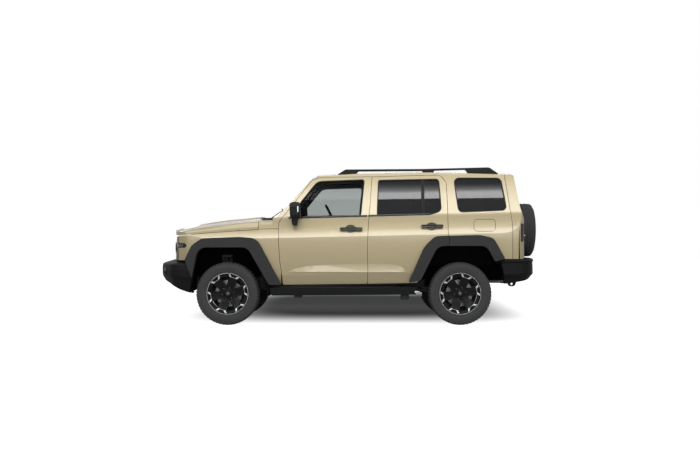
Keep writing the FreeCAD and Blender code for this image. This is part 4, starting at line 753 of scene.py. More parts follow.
def grown(corners: Sequence[Corner], distance: float) -> list[Corner]:
    """Move every edge of an outline outwards.

    Args:
        corners: The outline's corners.
        distance: How far, in millimetres; inwards where it is negative.

    Returns:
        The new corners, their radii grown or shrunk as much.
    """
    area = sum(a[0] * b[1] - b[0] * a[1] for a, b in zip(corners, [*corners[1:], corners[0]]))
    sign = 1.0 if area > 0 else -1.0
    moved: list[Corner] = []
    for index, (u, v, radius) in enumerate(corners):
        inward = (Vector((u, v)) - Vector(corners[index - 1][:2])).normalized()
        outward = (Vector(corners[(index + 1) % len(corners)][:2]) - Vector((u, v))).normalized()
        both = Vector((inward.y + outward.y, -inward.x - outward.x)) * sign
        step = both * (2 * distance / both.length_squared)
        moved.append((u + step.x, v + step.y, max(0.5, radius + distance) if radius > 0 else 0.0))
    return moved


def framed(name: str, outer: Sequence[Spot], inner: Sequence[Spot], along: Sequence[float]) -> Piece:
    """Model a frame: two rings of edges, bridged and extruded.

    Args:
        name: The piece's name.
        outer: Corners of its outer edge.
        inner: Corners of its inner edge, as many as of the outer one.
        along: The way to its other face.

    Returns:
        The closed frame.
    """
    piece = join(name, [edge_ring(outer), edge_ring(inner)])
    with editing(piece):
        bpy.ops.mesh.bridge_edge_loops()
        bpy.ops.mesh.select_all(action="SELECT")
        bpy.ops.mesh.extrude_region_move(TRANSFORM_OT_translate={"value": along})
    return settle(right_side_out(piece), name)


def add_finish(piece: Piece, finish: Finish, rule: Callable[[Vector, Vector], bool]) -> Piece:
    """Give some faces of a piece a finish of their own.

    Args:
        piece: The piece.
        finish: The second finish.
        rule: Picks the faces by their centre and normal.

    Returns:
        The same piece.
    """
    piece.data.materials.append(finish.material())
    slot = len(piece.data.materials) - 1
    for face in piece.data.polygons:
        if rule(face.center, face.normal):
            face.material_index = slot
    return piece


def cut(piece: Piece, cutter: Piece) -> Piece:
    """Cut one piece with another, which is used up.

    Args:
        piece: The piece, which is changed.
        cutter: What is taken away from it.

    Returns:
        The same piece.
    """
    modify(piece, "BOOLEAN", operation="DIFFERENCE", object=cutter, solver="EXACT")
    bpy.data.objects.remove(cutter)
    return piece


def both_sides(piece: Piece, name: str) -> Piece:
    """Join a piece of the left side with its mirrored copy."""
    return join(name, [piece, mirrored(piece, name + "_right")])


def blocks(stem: str, boxes: Iterable[tuple[Spot, Spot]], width: float, steps: int = 2) -> list[Piece]:
    """Model boxes that are alike, each given by its lowest and highest corner."""
    return [block(f"{stem}_{index}", low, high, width, steps) for index, (low, high) in enumerate(boxes)]


@dataclass
class Bodies:
    """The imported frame, and how pieces are hung on it."""

    frame: dict
    trees: dict[str, BVHTree] = field(default_factory=dict)

    def node(self, name: str) -> Piece:
        """The CAD object of one node."""
        return self.frame["nodes"][name]

    def hang(self, piece: Piece, body: str, *nodes: str) -> Piece:
        """Let a piece ride on a body, and report it.

        Args:
            piece: The piece.
            body: The body that carries it.
            *nodes: CAD nodes that it stands for.

        Returns:
            The same piece.
        """
        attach(piece, body)
        if nodes:
            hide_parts(*nodes)
        LOG.info("%s rides on %s with %d faces", piece.name, body, len(piece.data.polygons))
        return piece

    def surface(self, node: str, origin: Sequence[float], direction: Sequence[float]) -> Vector:
        """Where a line from a point first meets a CAD node.

        Args:
            node: The node.
            origin: The point.
            direction: The line's direction.

        Returns:
            The place on the node, or the point itself where the line misses it.
        """
        if node not in self.trees:
            mesh = self.node(node).data
            spots = [vertex.co.copy() for vertex in mesh.vertices]
            self.trees[node] = BVHTree.FromPolygons(spots, [tuple(face.vertices) for face in mesh.polygons])
        spot = self.trees[node].ray_cast(Vector(origin), Vector(direction))[0]
        return Vector(origin) if spot is None else spot

    def drape(self, name: str, node: str, low: Point, high: Point, facing: float, proud: float,
              depth: float) -> Piece:
        """Model a thin plate that follows the front or rear face of a CAD node.

        Args:
            name: The plate's name.
            node: The node that it lies on.
            low: Its lower corner, as (y, z).
            high: Its upper corner.
            facing: 1.0 on a front face, -1.0 on a rear one.
            proud: How far its face stands off the node.
            depth: Its thickness, inwards.

        Returns:
            The closed plate.
        """
        def place(across: float, up: float) -> Spot:
            """A point of the plate's face.

            Args:
                across: Share of the way across the plate.
                up: Share of the way up it.

            Returns:
                The point.
            """
            y = low[0] + across * (high[0] - low[0])
            z = low[1] + up * (high[1] - low[1])
            spot = self.surface(node, (facing * 3.0, y, z), (-facing, 0.0, 0.0))
            return spot.x + facing * proud, y, z

        return sheet(name, 12, 3, place, depth, -facing)

    def hang_pair(self, left: Piece, body: str) -> None:
        """Hang a piece of the left side and its mirrored copy.

        Args:
            left: The left piece, its name with the word left.
            body: The root body for both, or the stem of the two bodies' names.
        """
        right = mirrored(left, left.name.replace("_left", "_right"))
        for piece, side in ((right, Side.RIGHT), (left, Side.LEFT)):
            self.hang(piece, body if body == "body" else f"{body}_{side.tag}")

    def shell(self, node: str, name: str, finish: Finish, angle: float = 24.0,
              rows: Sequence[float] = ()) -> Piece:
        """Copy a CAD node's mesh, merge it and shade it, ready for more work.

        Args:
            node: The CAD node that is copied.
            name: The new piece's name.
            finish: Its finish.
            angle: Edges that turn by more than this many degrees stay sharp.
            rows: Levels at which the body side gets a row of edges, which keep a fold's soft shading narrow.

        Returns:
            The new piece, which doesn't ride on anything yet.
        """
        piece = bpy.data.objects.new(name, self.node(node).data.copy())
        bpy.context.collection.objects.link(piece)
        choose(piece)
        if piece.data.has_custom_normals:
            bpy.ops.mesh.customdata_custom_splitnormals_clear()
        with editing(piece):
            bpy.ops.mesh.remove_doubles(threshold=MERGE)
            bpy.ops.mesh.dissolve_limited(angle_limit=math.radians(0.5))
            for level in rows:
                bpy.ops.mesh.select_all(action="SELECT")
                bpy.ops.mesh.bisect(plane_co=(0.0, 0.0, level), plane_no=(RAKE, 0.0, 1.0))
        return dress(smooth(piece, angle), finish)


@dataclass
class Wheels:
    """The four road wheels: block-treaded tyre, six-spoke rim and brake disc, modelled once about one hub."""

    bodies: Bodies
    radius: float = 0.372
    pitches: int = 54
    rim_half: float = 0.107
    lip: float = 0.2466
    spokes: int = 6
    pocket_turn: float = 19.6
    disc_face: float = -0.024
    disc_width: float = 0.028

    # The carcass's outer half section: distance out from the middle, and radius.
    CARCASS: ClassVar[tuple[Point, ...]] = (
        (0.104, 0.2470), (0.1135, 0.2500), (0.1190, 0.2640), (0.1245, 0.2860), (0.1275, 0.3050),
        (0.1282, 0.3180), (0.1270, 0.3330), (0.1230, 0.3460), (0.1165, 0.3550), (0.1060, 0.3610),
        (0.0600, 0.3630))
    # Tread blocks as they lie on the top of the tyre: distance forward and distance out.
    MIDDLE_LUG: ClassVar[tuple[Point, ...]] = (
        (-0.015, -0.024), (0.006, -0.027), (0.015, -0.006), (0.011, 0.018), (-0.004, 0.024), (-0.013, 0.004))
    SIDE_LUG: ClassVar[tuple[Point, ...]] = (
        (-0.016, 0.033), (0.004, 0.029), (0.016, 0.050), (0.012, 0.074), (-0.006, 0.078), (-0.015, 0.056))
    SHOULDER_LUG: ClassVar[tuple[Point, ...]] = (
        (-0.017, 0.083), (0.015, 0.083), (0.018, 0.104), (0.016, 0.126), (-0.015, 0.126), (-0.018, 0.104))
    # Half a window between two spokes, and a pocket at a spoke's end: radius, then half width or degrees.
    WINDOW: ClassVar[tuple[Point, ...]] = (
        (0.108, 0.011), (0.130, 0.018), (0.180, 0.040), (0.214, 0.057), (0.219, 0.050))
    POCKET: ClassVar[tuple[Point, ...]] = (
        (0.262, 14.2), (0.2095, 8.2), (0.2055, 0.0), (0.2095, -8.2), (0.262, -14.2))

    def hub(self, node: str) -> Vector:
        """The middle of a tyre node."""
        low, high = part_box(node)
        return (Vector(low) + Vector(high)) / 2

    def polar(self, degrees: float, reach: float, out: float) -> Spot:
        """A point of the wheel's face, its angle taken from upright towards the tail."""
        turn = math.radians(degrees)
        return -reach * math.sin(turn), out, reach * math.cos(turn)

    def face_out(self, reach: float) -> float:
        """How far out the spoked face stands at a radius."""
        return 0.066 + (reach - 0.112) * 0.25

    def lug(self, name: str, outline: Sequence[Point], sign: float, drop: float,
            depth: float = 0.012) -> Piece:
        """Model one tread block.

        Args:
            name: The piece's name.
            outline: Its corners on the top of the tyre, as (x, y).
            sign: 1.0, or -1.0 to turn it round to the tyre's other half.
            drop: How far its top lies under the wheel's radius.
            depth: Its depth.

        Returns:
            The block.
        """
        foot = self.radius - drop - depth
        piece = plate(name, [(sign * x, sign * y, foot) for x, y in outline], (0.0, 0.0, depth))
        return round_edges(piece, 0.0012, 1, 50.0)

    def tread(self) -> Piece:
        """The ring of tread blocks, modelled as one pitch.

        Returns:
            The dressed ring.
        """
        pitch = [self.lug("lug_middle", self.MIDDLE_LUG, 1.0, 0.0)]
        for sign in (1.0, -1.0):
            pitch.append(self.lug("lug_side", self.SIDE_LUG, sign, 0.0008))
            shoulder = self.lug("lug_shoulder", self.SHOULDER_LUG, sign, 0.002, 0.024)
            for vertex in shoulder.data.vertices:
                over = abs(vertex.co.y) - 0.106
                if over > 0.0:
                    on_top = vertex.co.z > self.radius - 0.014
                    vertex.co.z -= 0.0045 + 0.55 * over if on_top else 0.010
            pitch.append(shoulder)
        return dress(ring_of(join("tread_pitch", pitch), "tread", self.pitches), TYRE_RUBBER)

    def tyre(self) -> Piece:
        """The tyre: a turned carcass, two thin ribs on its flank and the tread.

        Returns:
            The dressed tyre, about the origin.
        """
        back = [(-y, r) for y, r in reversed(self.CARCASS)]
        profile = [*self.CARCASS, (0.0, 0.3635), *back, (-0.090, 0.2400), (0.090, 0.2400)]
        carcass = smooth(dress(turned("tyre", profile), TYRE_RUBBER), 40.0)
        ribs = [dress(turned("tyre_rib", [(y, r - 0.0013), (y + 0.0013, r), (y, r + 0.0013), (y - 0.004, r)]),
                      TYRE_RUBBER) for y, r in ((0.1196, 0.2670), (0.1279, 0.3075))]
        return join("tyre", [carcass, self.tread(), *ribs])

    def window(self) -> Piece:
        """The cutter of one window between two spokes.

        Returns:
            The cutter.
        """
        middle = self.pocket_turn + 180.0 / self.spokes
        edge = [(math.degrees(half / reach), reach) for reach, half in self.WINDOW]
        outline = [self.polar(middle + turn, reach, -0.02) for turn, reach in edge]
        outline += [self.polar(middle - turn, reach, -0.02) for turn, reach in reversed(edge)]
        return round_edges(plate("window", outline, (0.0, 0.2, 0.0)), 0.005, 2, 20.0)

    def pocket(self) -> Piece:
        """The cutter of one pocket at a spoke's end."""
        outline = [self.polar(self.pocket_turn + turn, reach, 0.080) for reach, turn in self.POCKET]
        return plate("pocket", outline, (0.0, 0.08, 0.0))

    def black_parts(self) -> list[Piece]:
        """The rim's black parts: spoked face, barrel and the floor of the pockets.

        Returns:
            The dressed parts.
        """
        half, lip = self.rim_half, self.lip
        face = turned("face", [
            (0.064, 0.001), (0.064, 0.040), (0.058, 0.046), (0.058, 0.092), (0.066, 0.112),
            (self.face_out(0.190), 0.190), (self.face_out(0.232), 0.232), (0.066, 0.232), (0.056, 0.190),
            (0.030, 0.110), (0.020, 0.092), (-0.024, 0.090), (-0.024, 0.001)], steps=120)
        for cutter, name in ((self.window(), "windows"), (self.pocket(), "pockets")):
            cut(face, ring_of(cutter, name, self.spokes))
        smooth(round_edges(face, 0.0025, 2, 32.0), 30.0)
        barrel = smooth(turned("barrel", [
            (half, lip), (half, 0.2400), (0.1030, 0.2370), (0.0960, 0.2290), (-0.010, 0.2160),
            (-0.090, 0.2240), (-half, 0.2360), (-half, lip), (-0.101, 0.2440), (-0.094, 0.2330),
            (0.094, 0.2330), (0.101, 0.2440)], steps=120), 35.0)
        floor = smooth(turned("floor", [(0.082, 0.200), (0.086, 0.232), (0.072, 0.232), (0.068, 0.200)]))
        return [dress(piece, WHEEL_BLACK) for piece in (face, barrel, floor)]

    def bright_parts(self) -> list[Piece]:
        """The rim's machined parts: two bars and a sill round each pocket, and the edge of the flange.

        Returns:
            The dressed parts.
        """
        bars: list[Piece] = []
        for sign in (1.0, -1.0):
            outline = [self.polar(self.pocket_turn + sign * turn, reach, self.face_out(reach) - 0.006)
                       for reach, turn in ((0.2440, 18.2), (0.2440, 13.4), (0.2020, 6.4), (0.1985, 11.8))]
            bars.append(round_edges(plate("bright_bar", outline, (0.0, 0.009, 0.0)), 0.0009))
        turns = (8.4, 4.2, 0.0, -4.2, -8.4)
        outline = [self.polar(self.pocket_turn + turn, 0.1985, 0.084) for turn in turns]
        outline += [self.polar(self.pocket_turn + turn, 0.2015, 0.084) for turn in reversed(turns)]
        sill = round_edges(plate("sill", outline, (0.0, 0.008, 0.0)), 0.0006, 1)
        proud = self.rim_half + 0.001
        edge = turned("edge", [(proud - 0.002, 0.2450), (proud, 0.2446), (proud, 0.2412),
                               (proud - 0.002, 0.2404)], steps=120)
        rings = [ring_of(join("bright", bars), "bright", self.spokes), ring_of(sill, "sill", self.spokes)]
        return [dress(smooth(piece), MACHINED) for piece in (*rings, edge)]

    def centre_parts(self) -> list[Piece]:
        """The hub's cap, the wheel nuts and the brake disc.

        Returns:
            The dressed parts.
        """
        cap = turned("cap", [(0.060, 0.0005), (0.0735, 0.0005), (0.073, 0.012), (0.071, 0.016),
                             (0.067, 0.018), (0.064, 0.021), (0.060, 0.021)], steps=48)
        start()
        bpy.ops.mesh.primitive_cylinder_add(vertices=6, radius=0.0125, depth=0.024,
                                            rotation=(math.pi / 2, 0.0, 0.0),
                                            location=self.polar(self.pocket_turn, 0.070, 0.066))
        nut = round_edges(settle(bpy.context.object, "nut"), 0.003, 2, 40.0)
        nuts = smooth(ring_of(nut, "nuts", self.spokes))
        outer, inner = self.disc_face, self.disc_face - self.disc_width
        disc = turned("disc", [(outer, 0.085), (outer, 0.159), (outer - 0.001, 0.160), (outer - 0.009, 0.160),
                               (outer - 0.009, 0.152), (inner + 0.009, 0.152), (inner + 0.009, 0.160),
                               (inner + 0.001, 0.160), (inner, 0.159), (inner, 0.060), (outer - 0.006, 0.060),
                               (outer - 0.006, 0.082)])
        return [dress(smooth(cap, 35.0), CASTING), dress(nuts, GLOSS_BLACK),
                dress(smooth(disc, 35.0), DISC_STEEL)]

    def rim(self) -> Piece:
        """The rim with its brake disc."""
        return join("rim", [*self.black_parts(), *self.bright_parts(), *self.centre_parts()])

    def build(self) -> None:
        """Model the tyre and the rim once and set four of each at their hubs."""
        tyre, rim = self.tyre(), self.rim()
        for end in ("front", "rear"):
            for side in Side:
                node = f"{end}_{side.tag}"
                place = (Matrix.Translation(self.hub(f"tyre_{node}"))
                         @ Matrix.Scale(side.value, 4, (0.0, 1.0, 0.0)))
                for piece, kind in ((tyre, "tyre"), (rim, "rim")):
                    double = copy(piece, f"{kind}_look_{node}", place)
                    self.bodies.hang(double, f"wheel_{node}", f"{kind}_{node}")
        for piece in (tyre, rim):
            bpy.data.objects.remove(piece)


@dataclass
class Panels:
    """Looks of the CAD nodes that keep their own form: painted panels, plastic, steel and glass."""

    bodies: Bodies
    skin_depth: float = 0.022
    inner_crown: float = 1.795

    # Which finish each node gets; the nodes are copied in this order.
    DRESS: ClassVar[tuple[tuple[Finish, str], ...]] = (
        (SAND_PAINT, "side_frame_left side_frame_right roof_panel floor_pan front_fenders hood tailgate "
                     "fuel_flap door_front_left door_front_right door_rear_left door_rear_right"),
        (SATIN_BLACK, "mirror_left mirror_right"), (PRIVACY_GLASS, "fixed_glass tailgate_glass"),
        (CLEAR_GLASS, "door_glass_front_left door_glass_front_right"),
        (PRIVACY_GLASS, "door_glass_rear_left door_glass_rear_right"), (RED_LENS, "tail_lamps"),
        (CHASSIS_BLACK, "chassis_frame frame_brackets cross_members"), (CASTING, "powertrain"),
        (CLADDING, "fuel_tank"), (STEEL, "exhaust"), (CHASSIS_BLACK, "front_suspension rear_axle"),
        (CASTING, "knuckle_left knuckle_right"), (LINER, "front_liners"), (BUMPER_PLASTIC, "side_steps"),
        (SATIN_BLACK, "roof_rails"), (BUMPER_PLASTIC, "front_bumper rear_bumper"),
        (CLADDING, "arch_flares door_flare_left door_flare_right"), (GLOSS_BLACK, "grille_panel"),
        (CABIN_PLASTIC, "dashboard steering_wheel"))
    DOORS: ClassVar[tuple[str, ...]] = (
        "door_front_left", "door_front_right", "door_rear_left", "door_rear_right")
    LINED: ClassVar[tuple[str, ...]] = (
        "side_frame_left", "side_frame_right", "roof_panel", "floor_pan", "front_fenders", "tailgate", *DOORS)
    FOLDED: ClassVar[tuple[str, ...]] = (
        "side_frame_left", "side_frame_right", "front_fenders", "fuel_flap", "tailgate", *DOORS)
    # Nodes whose edges are rounded, with the width.
    EDGED: ClassVar[dict[str, float]] = {
        "arch_flares": 0.007, "door_flare_left": 0.007, "door_flare_right": 0.007, "front_bumper": 0.009,
        "rear_bumper": 0.006, "side_steps": 0.006, "roof_rails": 0.004}
    # Levels at which the folded panels get a row of edges.
    ROWS: ClassVar[tuple[float, ...]] = (
        0.585, 0.625, 1.080, 1.108, 1.122, 1.136, 1.150, 1.168, 1.186, 1.205, 1.225, 1.262, 1.304, 1.400,
        1.520, 1.640)
    # The body side's lean in degrees: at levels above its crease, between crease and foot, and at the foot.
    TILTS: ClassVar[tuple[Point, ...]] = (
        (1.050, 18.3), (1.080, 17.2), (1.108, 15.9), (1.122, 15.1), (1.136, 14.3), (1.150, 13.4),
        (1.168, 12.2), (1.186, 10.9), (1.205, 9.6), (1.225, 8.4), (1.262, 7.2), (1.304, 14.8), (1.400, 14.4),
        (1.520, 13.6), (1.640, 13.0), (1.758, 13.5))
    SIDE_TILT: ClassVar[float] = -2.1
    FOOT_TILT: ClassVar[float] = -13.0
    CREASE: ClassVar[float] = SKIN[3][1]
    # The levels that are polished, and how far a facet may lean from the plan above and below the crease.
    POLISHED: ClassVar[Point] = (0.48, 1.76)
    STRAY_ABOVE: ClassVar[float] = 9.5
    STRAY_BELOW: ClassVar[float] = 2.5
    # How far a vertex may lie off the plain section: along the sides, and where the ends curve in.
    OFF_SIDE: ClassVar[float] = 0.0028
    OFF_END: ClassVar[float] = 0.30

    def inside(self, centre: Vector, normal: Vector) -> bool:
        """Whether a face of a painted panel lies on its inner side.

        Args:
            centre: The face's centre.
            normal: Its normal.

        Returns:
            True for the faces that the cabin's lining covers.
        """
        outward = normal.y if centre.y > 0.0 else -normal.y
        # At the windscreen's foot, only what lies between the wings.
        if 0.80 < centre.x <= 1.07 and centre.z > 1.14:
            return abs(centre.y) < 0.62
        # Ahead of the cabin, the faces under the bonnet that look in or back.
        if centre.x > 1.06:
            return outward < 0.05 and normal.x < 0.3 and normal.z < 0.3 and centre.z < 1.12
        # On the outer skin, only the foot of the sill.
        if abs(centre.y) > skin_y(centre.x, centre.z) - self.skin_depth:
            return centre.z < 0.488 and centre.x > -0.9
        if centre.z > self.inner_crown - 0.02:
            return False
        nose = centre.x > 0.30 and normal.x > 0.3 and centre.z > 1.15
        tail = centre.x < -1.90 and normal.x < -0.3
        return not (nose or tail)

    def tilt(self, level: float, above: bool) -> float:
        """The body side's lean at a level.

        Args:
            level: The height, with the section's rake taken out.
            above: Whether the facet lies above the crease.

        Returns:
            The lean in degrees, positive where the side faces up.
        """
        if not above:
            return self.SIDE_TILT if level > 0.60 else self.FOOT_TILT
        for (z0, lean0), (z1, lean1) in zip(self.TILTS, self.TILTS[1:]):
            if level <= z1:
                share = max(0.0, (level - z0) / (z1 - z0))
                return lean0 + share * (lean1 - lean0)
        return self.TILTS[-1][1]

    def is_skin(self, face: bpy.types.MeshPolygon) -> bool:
        """Whether a face belongs to the smooth outer body side.

        Args:
            face: A face of a folded panel.

        Returns:
            True where it looks outwards and leans nearly as the section does.
        """
        side = 1.0 if face.center.y > 0.0 else -1.0
        level = face.center.z + RAKE * face.center.x
        low, high = self.POLISHED
        if side * face.normal.y < 0.15 or not low <= level <= high:
            return False
        above = level > self.CREASE
        lean = math.degrees(math.asin(max(-1.0, min(1.0, face.normal.z))))
        return abs(lean - self.tilt(level, above)) <= (self.STRAY_ABOVE if above else self.STRAY_BELOW)

    def polish(self, piece: Piece) -> None:
        """Lean the shading normals of the outer body side smoothly from facet to facet.

        Args:
            piece: A folded panel's look, whose faces are no longer changed.
        """
        mesh = piece.data
        normals = [corner.vector.copy() for corner in mesh.corner_normals]
        for face in filter(self.is_skin, mesh.polygons):
            above = face.center.z + RAKE * face.center.x > self.CREASE
            for loop in face.loop_indices:
                spot = mesh.vertices[mesh.loops[loop].vertex_index].co
                off = abs(abs(spot.y) - skin_y(spot.x, spot.z))
                heading = Vector((normals[loop].x, normals[loop].y, 0.0))
                if off > (self.OFF_SIDE if abs(spot.x) < 1.5 else self.OFF_END) or heading.length < 0.3:
                    continue
                turn = math.radians(self.tilt(spot.z + RAKE * spot.x, above))
                normals[loop] = heading.normalized() * math.cos(turn)
                normals[loop].z = math.sin(turn)
        mesh.normals_split_custom_set(normals)

    def in_arch(self, centre: Vector, normal: Vector) -> bool:
        """Whether a face of a painted panel looks into a rear wheel arch.

        Args:
            centre: The face's middle.
            normal: The way that it faces.

        Returns:
            True where it does.
        """
        if not (-2.02 < centre.x < -0.55 and centre.z < 0.99 and 0.35 < abs(centre.y)):
            return False
        return abs(centre.y) < skin_y(centre.x, centre.z) - 0.012 or normal.z < -0.35

    def body_of(self, node: str) -> str:
        """The body a node belongs to."""
        groups = self.bodies.frame["record"]["behaviour"]["bodies"]
        return next(body for body, members in groups.items() if node in members)

    def build(self) -> None:
        """Give every listed node a merged, softly shaded copy in its finish."""
        for finish, nodes in self.DRESS:
            for node in nodes.split():
                self.look(node, finish)

    def look(self, node: str, finish: Finish) -> None:
        """Model one node's look and hang it in the node's place.

        Args:
            node: The CAD node.
            finish: Its finish.
        """
        folded = node in self.FOLDED
        piece = self.bodies.shell(node, f"{node}_look", finish, 16.0 if folded else 24.0,
                                  self.ROWS if folded else ())
        if node in self.LINED:
            add_finish(piece, CABIN_PLASTIC, self.inside)
            add_finish(piece, LINER, self.in_arch)
        if node in self.DOORS:
            self.dish(piece, node)
        if node in self.EDGED:
            smooth(round_edges(piece, self.EDGED[node], 2, 28.0), 35.0)
        if folded:
            self.polish(piece)
        self.bodies.hang(piece, self.body_of(node), node)

    def dish(self, door: Piece, node: str) -> None:
        """Press the finger dish behind the handle into a door, and paint shade into it.

        Args:
            door: The door's look.
            node: The door's node.
        """
        tag = "front" if "front" in node else "rear"
        cutter = DoorTrim(self.bodies).dish(tag)
        if node.endswith("right"):
            left = cutter
            cutter = mirrored(left, "dish_right")
            bpy.data.objects.remove(left)
        smooth(cut(door, cutter), 16.0)
        x, y, z = DoorTrim.dish_centre(tag)

        def in_dish(centre: Vector, _: Vector) -> bool:
            """Whether a face lies on the dish, some way in from the skin, where shade is painted."""
            arms = zip((centre.x - x, abs(centre.y) - y, centre.z - z), DoorTrim.DISH_SIZE)
            return sum((arm / size) ** 2 for arm, size in arms) < 1.06 and abs(centre.y) < y - 0.007

        # The dish's faces get the darker paint: painted shade.
        add_finish(door, DISH_PAINTED_SHADE, in_dish)


@dataclass
class Glazing:
    """Seals, black borders and posts of the side windows."""

    bodies: Bodies
    inset: float = 0.012
    thickness: float = 0.005
    seal_out: float = 7.0
    seal_in: float = 6.0
    proud: float = 0.002

    # Outlines of the windows on the body side, in millimetres.
    FRONT: ClassVar[list[Corner]] = [(705, 1277, 20), (372, 1702, 120), (-185, 1723, 24), (-140, 1294, 20)]
    REAR: ClassVar[list[Corner]] = [(-338, 1294, 20), (-354, 1716, 24), (-868, 1727, 8), (-868, 1308, 8)]
    VENT: ClassVar[list[Corner]] = [(-893, 1309, 8), (-893, 1727, 8), (-1070, 1731, 40), (-1096, 1350, 60),
                                    (-960, 1309, 90)]
    QUARTER: ClassVar[list[Corner]] = [(-1303, 1338, 50), (-1250, 1744, 55), (-1808, 1742, 60),
                                       (-1868, 1362, 45)]
    # What is left clear of the front window inside its printed border.
    CLEAR_FRONT: ClassVar[list[Corner]] = [(670, 1290, 10), (352, 1672, 100), (-172, 1690, 30),
                                           (-134, 1302, 14)]

    def seal(self, name: str, corners: Sequence[Corner]) -> Piece:
        """Model the rubber seal round one window, on the left skin.

        Args:
            name: The seal's name.
            corners: The window's outline.

        Returns:
            The seal.
        """
        outer, inner = (on_skin(rounded(grown(corners, distance)), self.proud)
                        for distance in (self.seal_out, -self.seal_in))
        rubber = framed(name, outer, inner, (0.0, -self.proud - self.inset, 0.0))
        return dress(smooth(round_edges(rubber, 0.0012, 1, 50.0)), SEAL_RUBBER)

    def border(self, name: str, corners: Sequence[Corner], clear: Sequence[Corner]) -> Piece:
        """Model the black printed border behind one pane.

        Args:
            name: The border's name.
            corners: The window's outline.
            clear: The outline of what stays clear, with as many corners.

        Returns:
            The border.
        """
        behind = -self.inset - self.thickness - 0.0006
        outer = on_skin(rounded(grown(corners, -1.0)), behind)
        inner = on_skin(rounded(clear), behind)
        return dress(framed(name, outer, inner, (0.0, -0.0008, 0.0)), SATIN_BLACK)

    def build(self) -> None:
        """Furnish every side window, left and right."""
        plan = (("front", self.FRONT, self.CLEAR_FRONT, "door_front"),
                ("rear", self.REAR, grown(self.REAR, -22.0), "door_rear"),
                ("vent", self.VENT, grown(self.VENT, -20.0), "door_rear"),
                ("quarter", self.QUARTER, grown(self.QUARTER, -24.0), "body"))
        for tag, corners, clear, body in plan:
            self.bodies.hang_pair(self.seal(f"window_seal_{tag}_left", corners), body)
            self.bodies.hang_pair(self.border(f"window_border_{tag}_left", corners, clear), body)
        post = wrap("window_post_left", (-0.896, -0.865), lambda _: (1.300, 1.733), 0.0024, 0.004, 2, 16)
        self.bodies.hang_pair(dress(round_edges(post, 0.001, 1), SATIN_BLACK), "door_rear")


@dataclass
class DoorTrim:
    """Outer furniture of the four doors: handles in their dishes and the belt strips."""

    bodies: Bodies
    bar_height: float = 0.040
    bar_depth: float = 0.016
    stand_off: float = 0.024

    # Each handle's ends and height, the middle of its dish, and the ends of each belt strip.
    HANDLES: ClassVar[dict[str, tuple[Point, float]]] = {
        "front": ((0.102, -0.162), 1.137), "rear": ((-0.855, -1.114), 1.171)}
    DISHES: ClassVar[dict[str, Point]] = {"front": (-0.023, 1.141), "rear": (-0.981, 1.168)}
    DISH_SIZE: ClassVar[Spot] = (0.066, 0.030, 0.049)
    BELTS: ClassVar[dict[str, Point]] = {"front": (0.712, -0.2205), "rear": (-0.2305, -0.955)}

    @classmethod
    def dish_centre(cls, tag: str) -> Spot:
        """The middle of the ball behind the handle tagged front or rear."""
        x, z = cls.DISHES[tag]
        return x, skin_y(x, z) + 0.004, z

    def dish(self, tag: str) -> Piece:
        """Model the ball that presses the finger dish into a left door.

        Args:
            tag: Front or rear.

        Returns:
            The cutter.
        """
        start()
        bpy.ops.mesh.primitive_uv_sphere_add(segments=40, ring_count=20, radius=1.0)
        ball = bpy.context.object
        ball.scale = self.DISH_SIZE
        ball.location = self.dish_centre(tag)
        return settle(ball, f"dish_{tag}")

    def handle(self, tag: str) -> Piece:
        """Model one pull handle: a bar that follows the skin on two feet.

        Args:
            tag: Front or rear.

        Returns:
            The left door's handle.
        """
        (front, rear), z = self.HANDLES[tag]
        y = skin_y(0.5 * (front + rear), z) + self.stand_off
        half = self.bar_height / 2
        reach = half * 0.8
        ends = ((rear, -half), (rear, half), (front, half * 0.9), (front, -half * 0.9))
        outline = rounded([(x * 1000, (z + rise) * 1000, 9) for x, rise in ends])
        grip = plate(f"grip_{tag}", [(x, y, level) for x, level in outline], (0.0, self.bar_depth, 0.0))
        round_edges(grip, 0.006, 3, 40.0)
        feet = blocks("foot", [((x - 0.020, y - 0.034, z - reach), (x + 0.020, y + 0.004, z + reach))
                               for x in (front - 0.028, rear + 0.028)], 0.004)
        return dress(smooth(join(f"handle_{tag}_left", [grip, *feet])), GLOSS_BLACK)

    def belt(self, tag: str) -> Piece:
        """Model one belt strip along the foot of the windows.

        Args:
            tag: Front or rear.

        Returns:
            The left door's strip.
        """
        ends = [(x, 1.2945 - 0.0265 * x) for x in self.BELTS[tag]]
        low = [(x, level - 0.018) for x, level in ends]
        high = [(x, level + 0.004) for x, level in reversed(ends)]
        strip = plate(f"belt_{tag}_left", on_skin([*low, *high], -0.004), (0.0, 0.0085, 0.0))
        return dress(smooth(round_edges(strip, 0.002)), GLOSS_BLACK)

    def build(self) -> None:
        """Hang handles and strips on the doors of both sides."""
        for tag in self.HANDLES:
            for left in (self.handle(tag), self.belt(tag)):
                self.bodies.hang_pair(left, f"door_{tag}")


